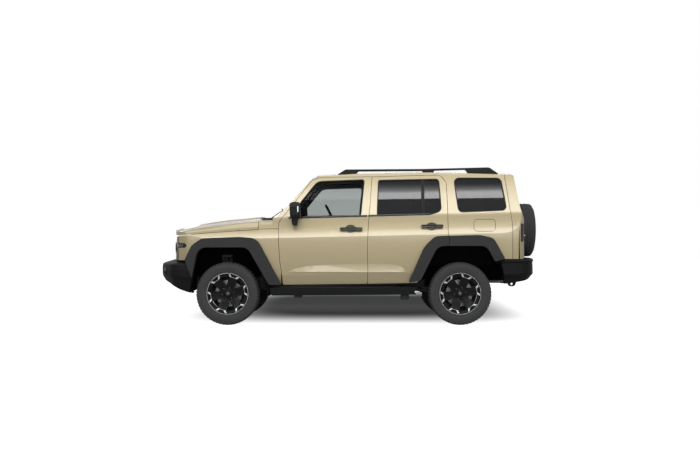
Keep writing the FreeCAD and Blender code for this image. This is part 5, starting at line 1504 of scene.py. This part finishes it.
@dataclass
class Nose:
    """The front end's details: headlamps, markers, grille bars, blank plate, fog lamps, cowl and wipers."""

    bodies: Bodies
    lamp_x: float = 2.026
    lamp_half: float = 0.640
    lamp_z: float = 0.915
    bar_pitch: float = 0.042
    bar_count: int = 22
    wiper_reach: float = 0.600

    # Where the marker's slot starts and ends, and its glints.
    MARKER: ClassVar[Point] = (1.906, 2.038)
    GLINTS: ClassVar[tuple[float, ...]] = (2.027, 2.001, 1.974)

    def headlamp(self) -> Piece:
        """The left headlamp: bowl, light ring, projector and cover glass.

        Returns:
            The dressed lamp.
        """
        centre = (self.lamp_x, self.lamp_half, self.lamp_z)
        plan = (
            (GLOSS_BLACK, ((-0.010, 0.0006), (-0.010, 0.060), (0.010, 0.0915), (0.044, 0.0915),
                           (0.049, 0.0885), (0.045, 0.0850), (0.018, 0.0800), (0.006, 0.0560),
                           (0.002, 0.0006))),
            (WHITE_LED, ((0.034, 0.0740), (0.042, 0.0760), (0.042, 0.0830), (0.034, 0.0850))),
            (CHROME, ((0.006, 0.0400), (0.030, 0.0400), (0.033, 0.0425), (0.030, 0.0460), (0.006, 0.0480))),
            (CHROME, ((0.008, 0.0006), (0.008, 0.0385), (0.024, 0.0385), (0.034, 0.0300), (0.040, 0.0160),
                      (0.0415, 0.0006))),
            (LENS, ((0.0500, 0.0006), (0.0490, 0.0500), (0.0455, 0.0870), (0.0440, 0.0870), (0.0475, 0.0500),
                    (0.0485, 0.0006))),
        )
        return join("headlamp_left", [dress(smooth(turned("lamp_part", profile, centre, "X"), 35.0), finish)
                                      for finish, profile in plan])

    def marker(self) -> Piece:
        """The dark slot on the left wing's front corner, pointed at its rear, with bright slanted glints.

        Returns:
            The dressed marker.
        """
        def levels(x: float) -> Point:
            """The slot's lower and upper edge at a distance forward."""
            share = min(1.0, max(0.0, (x - self.MARKER[0]) / 0.034))
            return 0.964 - 0.046 * share, 0.9660 + 0.0040 * share

        pieces = [dress(wrap("marker_slot", self.MARKER, levels, -0.0015, 0.010), GLOSS_BLACK)]
        for index, x in enumerate(self.GLINTS):
            glint = wrap("marker_glint", (x - 0.006, x + 0.004), lambda _: (0.927, 0.960), 0.0008, 0.003)
            for vertex in glint.data.vertices:
                vertex.co.x -= 0.30 * (vertex.co.z - 0.943)
            pieces.append(dress(glint, CHROME if index == 0 else STEEL))
        return join("marker_left", pieces)

    def lamps(self) -> None:
        """Hang both headlamps and markers, which stand for the CAD's plain ones."""
        units = both_sides(join("lamp_unit_left", [self.headlamp(), self.marker()]), "headlamp_units")
        self.bodies.hang(units, "body", "headlamps")

    def grille(self) -> None:
        """Upright bars and a fine rail behind the openings of the dark nose panel."""
        first = -0.5 * self.bar_pitch * (self.bar_count - 1)
        upright = block("grille_bar", (2.078, first - 0.005, 0.795), (2.104, first + 0.005, 1.008), 0.002)
        modify(upright, "ARRAY", use_relative_offset=False, use_constant_offset=True,
               constant_offset_displace=(0.0, self.bar_pitch, 0.0), count=self.bar_count)
        rails = blocks("grille_rail", [((2.082, -0.478, z - 0.003), (2.100, 0.478, z + 0.003))
                                       for z in (0.832, 0.906, 0.980)], 0.0012)
        back = block("grille_back", (2.066, -0.480, 0.790), (2.074, 0.480, 1.012), 0.002)
        self.bodies.hang(dress(smooth(join("grille_bars", [upright, *rails, back])), SATIN_BLACK), "body")

    def bumper_items(self) -> None:
        """The blank plate and the fog lamps, seated on the front bumper."""
        number = self.bodies.drape("front_plate", "front_bumper", (-0.260, 0.585), (0.260, 0.695), 1.0,
                                   0.0025, 0.004)
        self.bodies.hang(dress(round_edges(number, 0.001, 1), BLANK_PLATE), "body")
        seat = self.bodies.surface("front_bumper", (3.0, 0.660, 0.632), (-1.0, 0.0, 0.0))
        centre = (seat.x - 0.016, seat.y, seat.z)
        shell = turned("fog_shell", [(0.0, 0.0006), (0.0, 0.044), (0.022, 0.044), (0.026, 0.040),
                                     (0.020, 0.036), (0.006, 0.030), (0.004, 0.0006)], centre, "X", 64)
        eye = turned("fog_eye", [(0.006, 0.0006), (0.006, 0.030), (0.018, 0.034), (0.021, 0.020),
                                 (0.022, 0.0006)], centre, "X", 64)
        lamp = [dress(smooth(piece, 35.0), finish) for piece, finish in ((shell, GLOSS_BLACK), (eye, CHROME))]
        self.bodies.hang(both_sides(join("fog_lamp_left", lamp), "fog_lamps"), "body")

    def cowl(self) -> None:
        """The ribbed black cowl at the foot of the windscreen."""
        tray = block("cowl_tray", (0.884, -0.615, 1.252), (1.046, 0.615, 1.2690), 0.004)
        rib = block("cowl_rib", (0.905, -0.600, 1.267), (1.030, -0.592, 1.2725), 0.002)
        modify(rib, "ARRAY", use_relative_offset=False, use_constant_offset=True,
               constant_offset_displace=(0.0, 0.0298, 0.0), count=41)
        self.bodies.hang(dress(smooth(join("cowl", [tray, rib])), SATIN_BLACK), "body")

    def wiper(self, name: str, y: float, reach: float) -> Piece:
        """Model one windscreen wiper with its pivot, arm and blade.

        Args:
            name: The wiper's name.
            y: Where its pivot stands across the body.
            reach: The length that its arm and blade are drawn from.

        Returns:
            The wiper.
        """
        foot = bar("wiper_foot", (0.930, y, 1.262), (0.926, y, 1.284), 0.014, width=0.003)
        arm = tube("wiper_arm", [(0.927, y, 1.281), (0.905, y - 0.03, 1.300), (0.850, y - 0.12, 1.345),
                                 (0.826, y - reach * 0.5, 1.366)], 0.005)
        blade = block("wiper_blade", (-0.004, -reach * 0.46, -0.009), (0.004, reach * 0.46, 0.009), 0.003)
        blade.matrix_world = (Matrix.Translation((0.816, y - reach * 0.5, 1.362))
                              @ Matrix.Rotation(math.radians(4.0), 4, "X"))
        return dress(smooth(join(name, [foot, arm, settle(blade, "wiper_rubber")])), SATIN_BLACK)

    def build(self) -> None:
        """Model and hang the front end's details."""
        self.lamps()
        self.grille()
        self.bumper_items()
        self.cowl()
        for name, y in (("wiper_left", 0.500), ("wiper_right", -0.080)):
            self.bodies.hang(self.wiper(name, y, self.wiper_reach), "body")


@dataclass
class Mirrors:
    """Glass and repeater lamp of the two door mirrors."""

    bodies: Bodies

    def pane(self) -> Piece:
        """The left mirror's glass in its frame, on the housing's rear face.

        Returns:
            The dressed pane.
        """
        corners: list[Corner] = [(962, 1277, 16), (1076, 1290, 26), (1072, 1418, 26), (1030, 1438, 20),
                                 (962, 1432, 16)]

        def face(grow: float) -> list[Spot]:
            """The outline on the housing's leaning rear face, grown by some millimetres."""
            outline = rounded(grown(corners, grow), fill=1)
            return [(0.566 + 0.048 * (z - 1.262) - 0.0005, y, z) for y, z in outline]

        frame = round_edges(framed("mirror_frame", face(4.0), face(-2.0), (-0.004, 0.0, 0.0)), 0.001, 1)
        glass = plate("mirror_glass", face(-1.5), (-0.002, 0.0, 0.0))
        return join("mirror_pane_left", [dress(glass, MIRROR_GLASS), dress(frame, GLOSS_BLACK)])

    def repeater(self) -> Piece:
        """The bright upright repeater lamp on the left mirror's outer side."""
        strip = block("repeater_left", (0.586, 1.076, 1.334), (0.599, 1.0915, 1.402), 0.003)
        return dress(smooth(strip), WHITE_LED)

    def build(self) -> None:
        """Hang the panes and repeaters on the front doors."""
        for left in (self.pane(), self.repeater()):
            self.bodies.hang_pair(left, "door_front")


@dataclass
class Tail:
    """The rear end's details: lamp glasses, brake lamp, wiper, hinges, spare wheel, plate and reflectors."""

    bodies: Bodies
    lamp_low: float = 0.988
    lamp_high: float = 1.202
    spare_z: float = 1.127
    spare_lugs: int = 48

    def lamps(self) -> None:
        """Dark lamp glasses that wrap round the tailgate's corners, and light bars in the lamps."""
        band = wrap("tail_wrap", (-2.080, -2.036), lambda _: (self.lamp_low, self.lamp_high), 0.0016, 0.006)
        pieces = [dress(band, GLOSS_BLACK)]
        for index, z in enumerate((1.026, 1.062, 1.130, 1.166)):
            one = block(f"tail_bar_{index}", (-2.0945, 0.732, z - 0.006), (-2.0885, 0.836, z + 0.006), 0.002)
            pieces.append(dress(smooth(one), WHITE_LED if index == 1 else RED_LENS))
        self.bodies.hang(both_sides(join("tail_lamp_glass", pieces), "tail_lamp_glasses"), "tailgate")

    def furniture(self) -> None:
        """High brake lamp, wiper, pull handle and hinges of the tailgate."""
        brake = smooth(block("brake_lamp", (-1.998, -0.150, 1.741), (-1.982, 0.150, 1.757), 0.003))
        foot = bar("rear_wiper_foot", (-2.040, 0.100, 1.368), (-2.072, 0.100, 1.362), 0.020, 28, 0.004)
        arm = tube("rear_wiper_arm", [(-2.070, 0.100, 1.364), (-2.074, 0.060, 1.392), (-2.068, -0.060, 1.420),
                                      (-2.060, -0.190, 1.432)], 0.006)
        blade = block("rear_wiper_blade", (-2.066, -0.380, 1.424), (-2.054, -0.010, 1.438), 0.003)
        wiper = smooth(join("rear_wiper", [foot, arm, blade]))
        pull = smooth(block("tail_pull", (-2.124, 0.540, 1.022), (-2.100, 0.680, 1.062), 0.008))
        hinges = smooth(join("tail_hinges", blocks("tail_hinge", [
            ((-1.992, -0.934, z - 0.045), (-1.940, -0.905, z + 0.045)) for z in (0.905, 1.290)], 0.006)))
        plan = ((brake, RED_LENS), (wiper, SATIN_BLACK), (pull, GLOSS_BLACK), (hinges, SAND_PAINT))
        for piece, finish in plan:
            self.bodies.hang(dress(piece, finish), "tailgate")

    def spare(self) -> None:
        """The spare wheel: ribbed tyre flank with its lugs, hard cover with a raised ring, and bracket."""
        centre = (-2.122, 0.0, self.spare_z)
        tyre = turned("spare_tyre", [
            (-0.001, 0.20), (-0.001, 0.292), (-0.008, 0.306), (-0.022, 0.318), (-0.038, 0.3290),
            (-0.052, 0.3320), (-0.056, 0.3290), (-0.060, 0.3325), (-0.082, 0.3330), (-0.086, 0.3285),
            (-0.090, 0.3330), (-0.112, 0.3330), (-0.116, 0.3285), (-0.120, 0.3330), (-0.142, 0.3325),
            (-0.146, 0.3280), (-0.150, 0.3310), (-0.168, 0.3270), (-0.180, 0.3120), (-0.184, 0.296),
            (-0.184, 0.20)], centre, "X", 120)
        cover = turned("spare_cover", [
            (-0.150, 0.0006), (-0.150, 0.296), (-0.186, 0.298), (-0.196, 0.284), (-0.2035, 0.252),
            (-0.206, 0.212), (-0.2075, 0.208), (-0.2075, 0.196), (-0.2055, 0.192), (-0.2065, 0.100),
            (-0.2080, 0.0006)], centre, "X", 120)
        hub = bar("spare_bracket", (-2.100, 0.0, self.spare_z), (-2.130, 0.0, self.spare_z), 0.094, 48, 0.004)
        lug = block("spare_lug", (-2.1750, -0.012, self.spare_z + 0.322),
                    (-2.1580, 0.012, self.spare_z + 0.3345), 0.002)
        pair = join("lug_pair", [lug, copy(lug, "spare_lug_inner", Matrix.Translation((-0.056, 0.0, 0.0)))])
        lugs = ring_of(pair, "lugs", self.spare_lugs, (0.0, 0.0, self.spare_z), "X")
        pieces = [dress(smooth(tyre), TYRE_RUBBER), dress(smooth(cover, 25.0), BUMPER_PLASTIC),
                  dress(smooth(hub), SATIN_BLACK), dress(lugs, TYRE_RUBBER)]
        self.bodies.hang(join("spare_look", pieces), "tailgate", "spare_wheel")

    def bumper_items(self) -> None:
        """Blank rear plate, reflectors and the tail pipe's bright end."""
        number = self.bodies.drape("rear_plate", "rear_bumper", (-0.260, 0.610), (0.260, 0.718), -1.0,
                                   0.0025, 0.004)
        self.bodies.hang(dress(round_edges(number, 0.001, 1), BLANK_PLATE), "body")
        glass = self.bodies.drape("reflector_left", "rear_bumper", (0.640, 0.610), (0.740, 0.634), -1.0,
                                  0.003, 0.006)
        self.bodies.hang(both_sides(dress(round_edges(glass, 0.0015), RED_LENS), "reflectors"), "body")
        tip = turned("exhaust_tip", [(0.0, 0.030), (-0.030, 0.0300), (-0.032, 0.0285), (-0.030, 0.0270),
                                     (0.0, 0.0268)], (-2.072, -0.300, 0.470), "X", 48)
        self.bodies.hang(dress(smooth(tip, 35.0), MACHINED), "body")

    def build(self) -> None:
        """Model and hang the rear end's details."""
        self.lamps()
        self.furniture()
        self.spare()
        self.bumper_items()


@dataclass
class Underbody:
    """What closes the arches and hangs below the sills: shields, skirts, guards, step pads and hangers."""

    bodies: Bodies
    half_track: float = 0.804
    hub_z: float = 0.372

    # Each axle's place, and the depth of its shields' lip and the radius of their bore.
    AXLES: ClassVar[dict[str, tuple[float, float, float]]] = {
        "front": (1.432, 0.0730, 0.154), "rear": (-1.318, 0.0980, 0.052)}

    def dust_shields(self) -> None:
        """A thin pressed shield behind each brake disc."""
        for end, (x, lip, bore) in self.AXLES.items():
            profile = ((0.0600, bore), (0.0600, bore + 0.002), (0.0640, 0.160), (0.0620, 0.2110),
                       (0.0660, 0.2150), (lip, 0.2175), (lip, 0.2160), (0.0670, 0.2136), (0.0655, 0.2100),
                       (0.0655, 0.158), (0.0615, bore + 0.002), (0.0615, bore))
            for side in Side:
                shield = turned(f"dust_shield_{end}_{side.tag}", [(-side.value * u, r) for u, r in profile],
                                (x, side.value * self.half_track, self.hub_z))
                body = f"knuckle_{side.tag}" if end == "front" else "body"
                self.bodies.hang(dress(smooth(shield, 35.0), CHASSIS_BLACK), body)

    def skirts(self) -> None:
        """Splash shields beside the rails and behind the front bumper, and the guards ahead of the steps."""
        rear = plate("splash_rear", [(x, 0.4400, z) for x, z in (
            (-0.930, 0.700), (-1.740, 0.700), (-1.800, 0.776), (-1.900, 0.776), (-1.880, 0.520),
            (-1.600, 0.505), (-1.100, 0.505), (-0.930, 0.420))], (0.0, 0.003, 0.0))
        front = block("splash_front", (1.8620, 0.440, 0.398), (1.8670, 0.842, 0.590), 0.001)
        guard = plate("mud_guard", [(x, 0.700, z) for x, z in (
            (1.000, 0.500), (0.929, 0.500), (0.929, 0.350), (0.956, 0.350))], (0.0, 0.225, 0.0))
        chin = block("bumper_closing", (1.8630, 0.480, 0.392), (1.915, 0.860, 0.520), 0.006)
        foot = block("flare_foot", (-1.802, 0.880, 0.726), (-1.752, 0.926, 0.769), 0.004)
        shields = join("splash_shields_left", [rear, front, round_edges(guard, 0.004), chin, foot])
        self.bodies.hang(both_sides(dress(smooth(shields), LINER), "splash_shields"), "body")

    def step_items(self) -> None:
        """Ribbed pads on the steps, their hangers and the bright end brackets."""
        pads = blocks("pad", [((-0.800, y, 0.4465), (0.870, y + 0.012, 0.4535))
                              for y in (0.862, 0.884, 0.906)], 0.0025)
        hangers = blocks("hanger", [((-0.711, 0.800, 0.303), (-0.617, 0.905, 0.362)),
                                    ((0.551, 0.800, 0.326), (0.646, 0.905, 0.360))], 0.006)
        dark = dress(smooth(join("step_items_left", [*pads, *hangers])), CLADDING)
        bright = smooth(block("step_end", (-0.862, 0.890, 0.347), (-0.786, 0.9425, 0.392), 0.006))
        left = join("step_set_left", [dark, dress(bright, STEEL)])
        self.bodies.hang(both_sides(left, "step_sets"), "body")

    def build(self) -> None:
        """Model and hang the pieces below the body."""
        self.dust_shields()
        self.skirts()
        self.step_items()


@dataclass
class Cabin:
    """The seats as stitched cushions, and the dashboard's and doors' furniture."""

    bodies: Bodies
    seat_half: float = 0.370
    bench_pitch: float = 0.403
    bolster: float = 0.095

    # Side profiles of a seat's parts, in millimetres from the cushion's middle and underside.
    CUSHION: ClassVar[tuple[Corner, ...]] = (
        (250, 0, 30), (262, 118, 44), (-190, 70, 20), (-288, 82, 20), (-288, 0, 20))
    FLANK: ClassVar[tuple[Corner, ...]] = (
        (246, 0, 30), (256, 125, 44), (-190, 84, 20), (-288, 90, 20), (-288, 0, 20))
    BACK: ClassVar[tuple[Corner, ...]] = ((-190, 72, 20), (-352, 738, 40), (-430, 730, 40), (-320, 40, 40))
    WING: ClassVar[tuple[Corner, ...]] = ((-172, 88, 24), (-334, 700, 50), (-426, 716, 40), (-318, 50, 40))
    REST: ClassVar[tuple[Corner, ...]] = ((-360, 758, 24), (-382, 908, 30), (-462, 900, 30), (-446, 752, 24))

    def seat(self, tag: str, y: float, width: float, x: float, base: float) -> list[Piece]:
        """Model one seat: cushion and back with bolsters, seams and a headrest.

        Args:
            tag: A word for the pieces' names.
            y: The seat's middle across the cabin.
            width: Its width.
            x: The cushion's middle, in millimetres.
            base: The cushion's underside, in millimetres.

        Returns:
            The fabric pieces.
        """
        half = width / 2
        edge = min(self.bolster, width * 0.24)
        inner = half - edge * 0.8
        plan = [("cushion", self.CUSHION, y - inner, y + inner, 0.010),
                ("back", self.BACK, y - inner, y + inner, 0.010),
                ("rest", self.REST, y - 0.122, y + 0.122, 0.022)]
        for sign in (1.0, -1.0):
            low, high = sorted((y + sign * half, y + sign * (half - edge)))
            plan += [("flank", self.FLANK, low, high, 0.028), ("wing", self.WING, low, high, 0.026)]
        pieces: list[Piece] = []
        for part, profile, low, high, soft in plan:
            outline = rounded([(x + u, base + v, radius) for u, v, radius in profile], fill=0)
            pad = plate(f"{tag}_{part}", [(u, low, v) for u, v in outline], (0.0, high - low, 0.0))
            pieces.append(round_edges(pad, soft, 4, 50.0))
        for share in (0.30, 0.55, 0.80):
            spot = ((x + 250 - share * 440) / 1000, y - half + edge, (base + 118 - share * 46 - 1.0) / 1000)
            pieces.append(bar(f"{tag}_seam", spot, (spot[0], y + half - edge, spot[2]), 0.0035, 10))
        return pieces

    def seats(self) -> None:
        """The two front seats and the bench, which stand for the CAD's plain cushions."""
        front: list[Piece] = []
        for side in Side:
            front += self.seat(f"seat_{side.tag}", side.value * self.seat_half, 0.500, 60.0, 694.0)
        bench: list[Piece] = []
        places = (self.bench_pitch, 0.0, -self.bench_pitch)
        for tag, y in zip(("left", "middle", "right"), places):
            bench += self.seat(f"bench_{tag}", y, 0.398, -700.0, 732.0)
        cloth_front = dress(smooth(join("front_seats_look", front), 40.0), SEAT_CLOTH)
        cloth_rear = dress(smooth(join("bench_look", bench), 40.0), SEAT_CLOTH)
        self.bodies.hang(cloth_front, "body", "front_seats")
        self.bodies.hang(cloth_rear, "body", "bench_cushion", "bench_backs")
        self.frames(places)

    def frames(self, bench_places: Sequence[float]) -> None:
        """Model the plastic bases of the seats and the headrests' stems.

        Args:
            bench_places: The middles of the bench's three seats.
        """
        rows = ((0.060, 1.394, (self.seat_half, -self.seat_half)), (-0.700, 1.432, bench_places))
        stems = [bar("stem", (x - 0.385, y + step, z), (x - 0.410, y + step, z + 0.09), 0.007, 14)
                 for x, z, places in rows for y in places for step in (0.045, -0.045)]
        boxes = [((-0.190, side.value * self.seat_half - 0.175, 0.560),
                  (0.240, side.value * self.seat_half + 0.175, 0.700)) for side in Side]
        boxes.append(((-0.850, -0.580, 0.560), (-0.520, 0.580, 0.736)))
        frames = join("seat_frames", [*stems, *blocks("seat_base", boxes, 0.010)])
        self.bodies.hang(dress(smooth(frames), CABIN_PLASTIC), "body")

    def dash(self) -> None:
        """Screens and vents, the driver's hood, the gear lever and the console's lid."""
        screens = blocks("screen", [((0.540, -0.190, 1.085), (0.556, 0.110, 1.215)),
                                    ((0.600, 0.240, 1.185), (0.616, 0.500, 1.262))], 0.005)
        vents = blocks("vent", [((0.553, y - 0.055, 1.060), (0.566, y + 0.055, 1.078))
                                for y in (0.620, 0.180, -0.260, -0.620)], 0.003)
        shiny = join("dash_screens", [*screens, *vents])
        hood = block("driver_hood", (0.606, 0.225, 1.178), (0.700, 0.515, 1.272), 0.014, 3)
        lever = bar("gear_stem", (0.300, 0.0, 0.790), (0.285, 0.0, 0.870), 0.012, 20)
        knob = block("gear_knob", (0.262, -0.024, 0.862), (0.308, 0.024, 0.925), 0.018, 4)
        lid = block("console_lid", (0.125, -0.105, 0.790), (0.235, 0.105, 0.830), 0.014, 3)
        plain = join("dash_items", [hood, lever, knob, lid])
        for piece, finish in ((shiny, GLOSS_BLACK), (plain, CABIN_PLASTIC)):
            self.bodies.hang(dress(smooth(piece), finish), "body")

    def door_cards(self) -> None:
        """Armrests with their pulls on the inner sides of the four doors."""
        for tag, low, high, z in (("front", 0.020, 0.500, 0.930), ("rear", -0.700, -0.330, 0.950)):
            rest = block("armrest", (low, 0.752, z), (high, 0.818, z + 0.060), 0.018, 3)
            pull = block("card_pull", (high - 0.140, 0.790, z + 0.110), (high, 0.818, z + 0.150), 0.010, 3)
            card = dress(smooth(join(f"door_card_{tag}_left", [rest, pull])), CABIN_PLASTIC)
            self.bodies.hang_pair(card, f"door_{tag}")

    def build(self) -> None:
        """Furnish the cabin."""
        self.seats()
        self.dash()
        self.door_cards()


@dataclass
class Studio:
    """The floor, the light and the camera."""

    lens: float = 54.4
    eye: Spot = (-0.015, 13.4, 1.0836)
    strip_reach: float = 3.0
    strip_length: float = 7.4
    # The rounded patch of floor with a shadow painted into its base colour: its half width and depth, the
    # middle of its depth, and where its edge starts to fade.
    shade_size: Point = (2.6, 3.85)
    shade_middle: float = -2.9
    shade_core: float = 0.2186
    right_share: float = 0.5
    fade_power: float = 2.1

    # Bands of the strip lights: name, lowest and highest level, and glow.
    STRIPS: ClassVar[list[tuple[str, float, float, float]]] = [
        ("band", 2.44, 2.70, 6.0), ("low", 0.91, 1.05, 4.8)]
    # Where the upper band fades out: from this level to that one, in so many steps.
    FADE: ClassVar[tuple[float, float, int]] = (2.70, 2.95, 7)
    WHITE: ClassVar[tuple[float, ...]] = (1.0, 1.0, 1.0, 1.0)
    # Base colours of the floor: the darker one is a shadow painted into the patch under and behind the car,
    # the pale one lies outside it.
    DARK_FLOOR: ClassVar[tuple[float, ...]] = (0.105, 0.105, 0.105, 1.0)
    PALE_FLOOR: ClassVar[tuple[float, ...]] = (0.45, 0.45, 0.45, 1.0)
    SURROUND: ClassVar[tuple[float, ...]] = (0.80, 0.82, 0.85, 1.0)

    def floor_material(self) -> bpy.types.Material:
        """The floor's material: white to the camera, and darker in a rounded patch under the car, a shadow
        painted into its base colour.

        Returns:
            The material.
        """
        material = bpy.data.materials.new("studio_floor")
        material.use_nodes = True
        tree = material.node_tree
        shader = tree.nodes["Principled BSDF"]
        values = {"Roughness": 0.9, "Specular IOR Level": 0.0, "Emission Color": self.WHITE}
        for socket, value in values.items():
            shader.inputs[socket].default_value = value
        width, depth = self.shade_size
        place = add_node(tree, "TexCoord")
        shrink = add_node(tree, "Mapping", {"Scale": (1.0 / width, 1.0 / depth, 0.0),
                                            "Location": (0.05, -self.shade_middle / depth, 0.0)})
        square = add_node(tree, "VectorMath", operation="MULTIPLY")
        reach = add_node(tree, "VectorMath", operation="LENGTH")
        rise = add_node(tree, "MapRange", {"From Min": self.shade_core, "From Max": 1.0, "To Min": 0.0},
                        interpolation_type="SMOOTHSTEP")
        # The base colour darkens towards the patch's middle: a painted shadow.
        shadow_tone = add_node(tree, "Mix", {"A": self.DARK_FLOOR, "B": self.PALE_FLOOR}, data_type="RGBA")
        path = add_node(tree, "LightPath")
        seen = add_node(tree, "Math", operation="MULTIPLY")
        connect(tree, (place, "Object", shrink, "Vector"), (shrink, "Vector", square, 0),
                (shrink, "Vector", square, 1), (square, "Vector", reach, 0), (reach, "Value", rise, "Value"),
                (rise, "Result", seen, 0), (path, "Is Camera Ray", seen, 1), (rise, "Result", shadow_tone, "Factor"),
                (shadow_tone, "Result", shader, "Base Color"), (seen, "Value", shader, "Emission Strength"))
        return material

    def floor(self) -> None:
        """A floor under the wheels."""
        start()
        bpy.ops.mesh.primitive_plane_add(size=60.0)
        ground = settle(bpy.context.object, "studio_floor")
        with editing(ground):
            bpy.ops.mesh.subdivide(number_cuts=3)
        ground.data.materials.append(self.floor_material())

    def lamp(self, name: str, place: Sequence[float], aim: Sequence[float], size: Point, glow: float) -> None:
        """Add one rectangular soft light that the camera doesn't see.

        Args:
            name: Its name.
            place: Where it hangs.
            aim: The point that it looks at.
            size: Its length and height.
            glow: How bright its face is, where 1 is white.
        """
        light = bpy.data.lights.new(name, "AREA")
        light.shape = "RECTANGLE"
        light.size, light.size_y = size
        light.energy = glow * math.pi * size[0] * size[1]
        lamp = bpy.data.objects.new(name, light)
        bpy.context.collection.objects.link(lamp)
        lamp.location = place
        lamp.rotation_euler = (Vector(aim) - Vector(place)).to_track_quat("-Z", "Y").to_euler()
        lamp.visible_camera = False
        lamp.visible_transmission = False

    def strips(self) -> None:
        """Long strips beside the car, which draw the bright lines along its sides and in its windows."""
        lowest, highest, steps = self.FADE
        full = self.STRIPS[0][3]
        height = (highest - lowest) / steps
        plan = list(self.STRIPS)
        for index in range(steps):
            begin = lowest + height * index
            share = (index + 0.5) / steps
            plan.append((f"fade_{index}", begin, begin + height, full * (1.0 - share) ** self.fade_power))
        for side in Side:
            share = 1.0 if side is Side.LEFT else self.right_share
            for name, low, high, glow in plan:
                middle = 0.5 * (low + high)
                place = (0.0, side.value * self.strip_reach, middle)
                self.lamp(f"{name}_{side.tag}", place, (0.0, 0.0, middle), (self.strip_length, high - low),
                          glow * share)

    def world(self) -> None:
        """A soft grey surround that the camera sees as white."""
        world = bpy.data.worlds.new("studio")
        bpy.context.scene.world = world
        world.use_nodes = True
        tree = world.node_tree
        tree.nodes.clear()
        path = add_node(tree, "LightPath")
        around = add_node(tree, "Background", {"Color": self.SURROUND, "Strength": 0.52})
        white = add_node(tree, "Background", {"Color": self.WHITE, "Strength": 1.0})
        either = add_node(tree, "Math", operation="MAXIMUM")
        mix, out = add_node(tree, "MixShader"), add_node(tree, "OutputWorld")
        connect(tree, (path, "Is Camera Ray", either, 0), (path, "Is Transmission Ray", either, 1),
                (either, "Value", mix, "Fac"), (around, "Background", mix, 1), (white, "Background", mix, 2),
                (mix, "Shader", out, "Surface"))

    def camera(self) -> None:
        """The camera, level and square to the left side."""
        data = bpy.data.cameras.new("camera")
        data.lens = self.lens
        data.sensor_width = 36.0
        data.clip_end = 200.0
        camera = bpy.data.objects.new("camera", data)
        bpy.context.collection.objects.link(camera)
        camera.location = self.eye
        camera.rotation_euler = (math.pi / 2, 0.0, math.pi)
        bpy.context.scene.camera = camera

    def build(self) -> None:
        """Set up the studio."""
        self.floor()
        self.world()
        self.strips()
        self.lamp("top", (0.0, 1.6, 5.4), (0.0, 0.0, 0.8), (8.0, 4.4), 0.92)
        self.camera()
        bpy.context.scene.view_settings.view_transform = "Standard"


def main() -> None:
    """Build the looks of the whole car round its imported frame."""
    logging.basicConfig(level=logging.WARNING)
    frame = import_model()
    bodies = Bodies(frame)
    for group in (Wheels, Panels, Glazing, DoorTrim, Nose, Mirrors, Tail, Underbody, Cabin):
        group(bodies).build()
    Studio().build()
    bpy.context.view_layer.update()


if __name__ == "__main__":
    main()
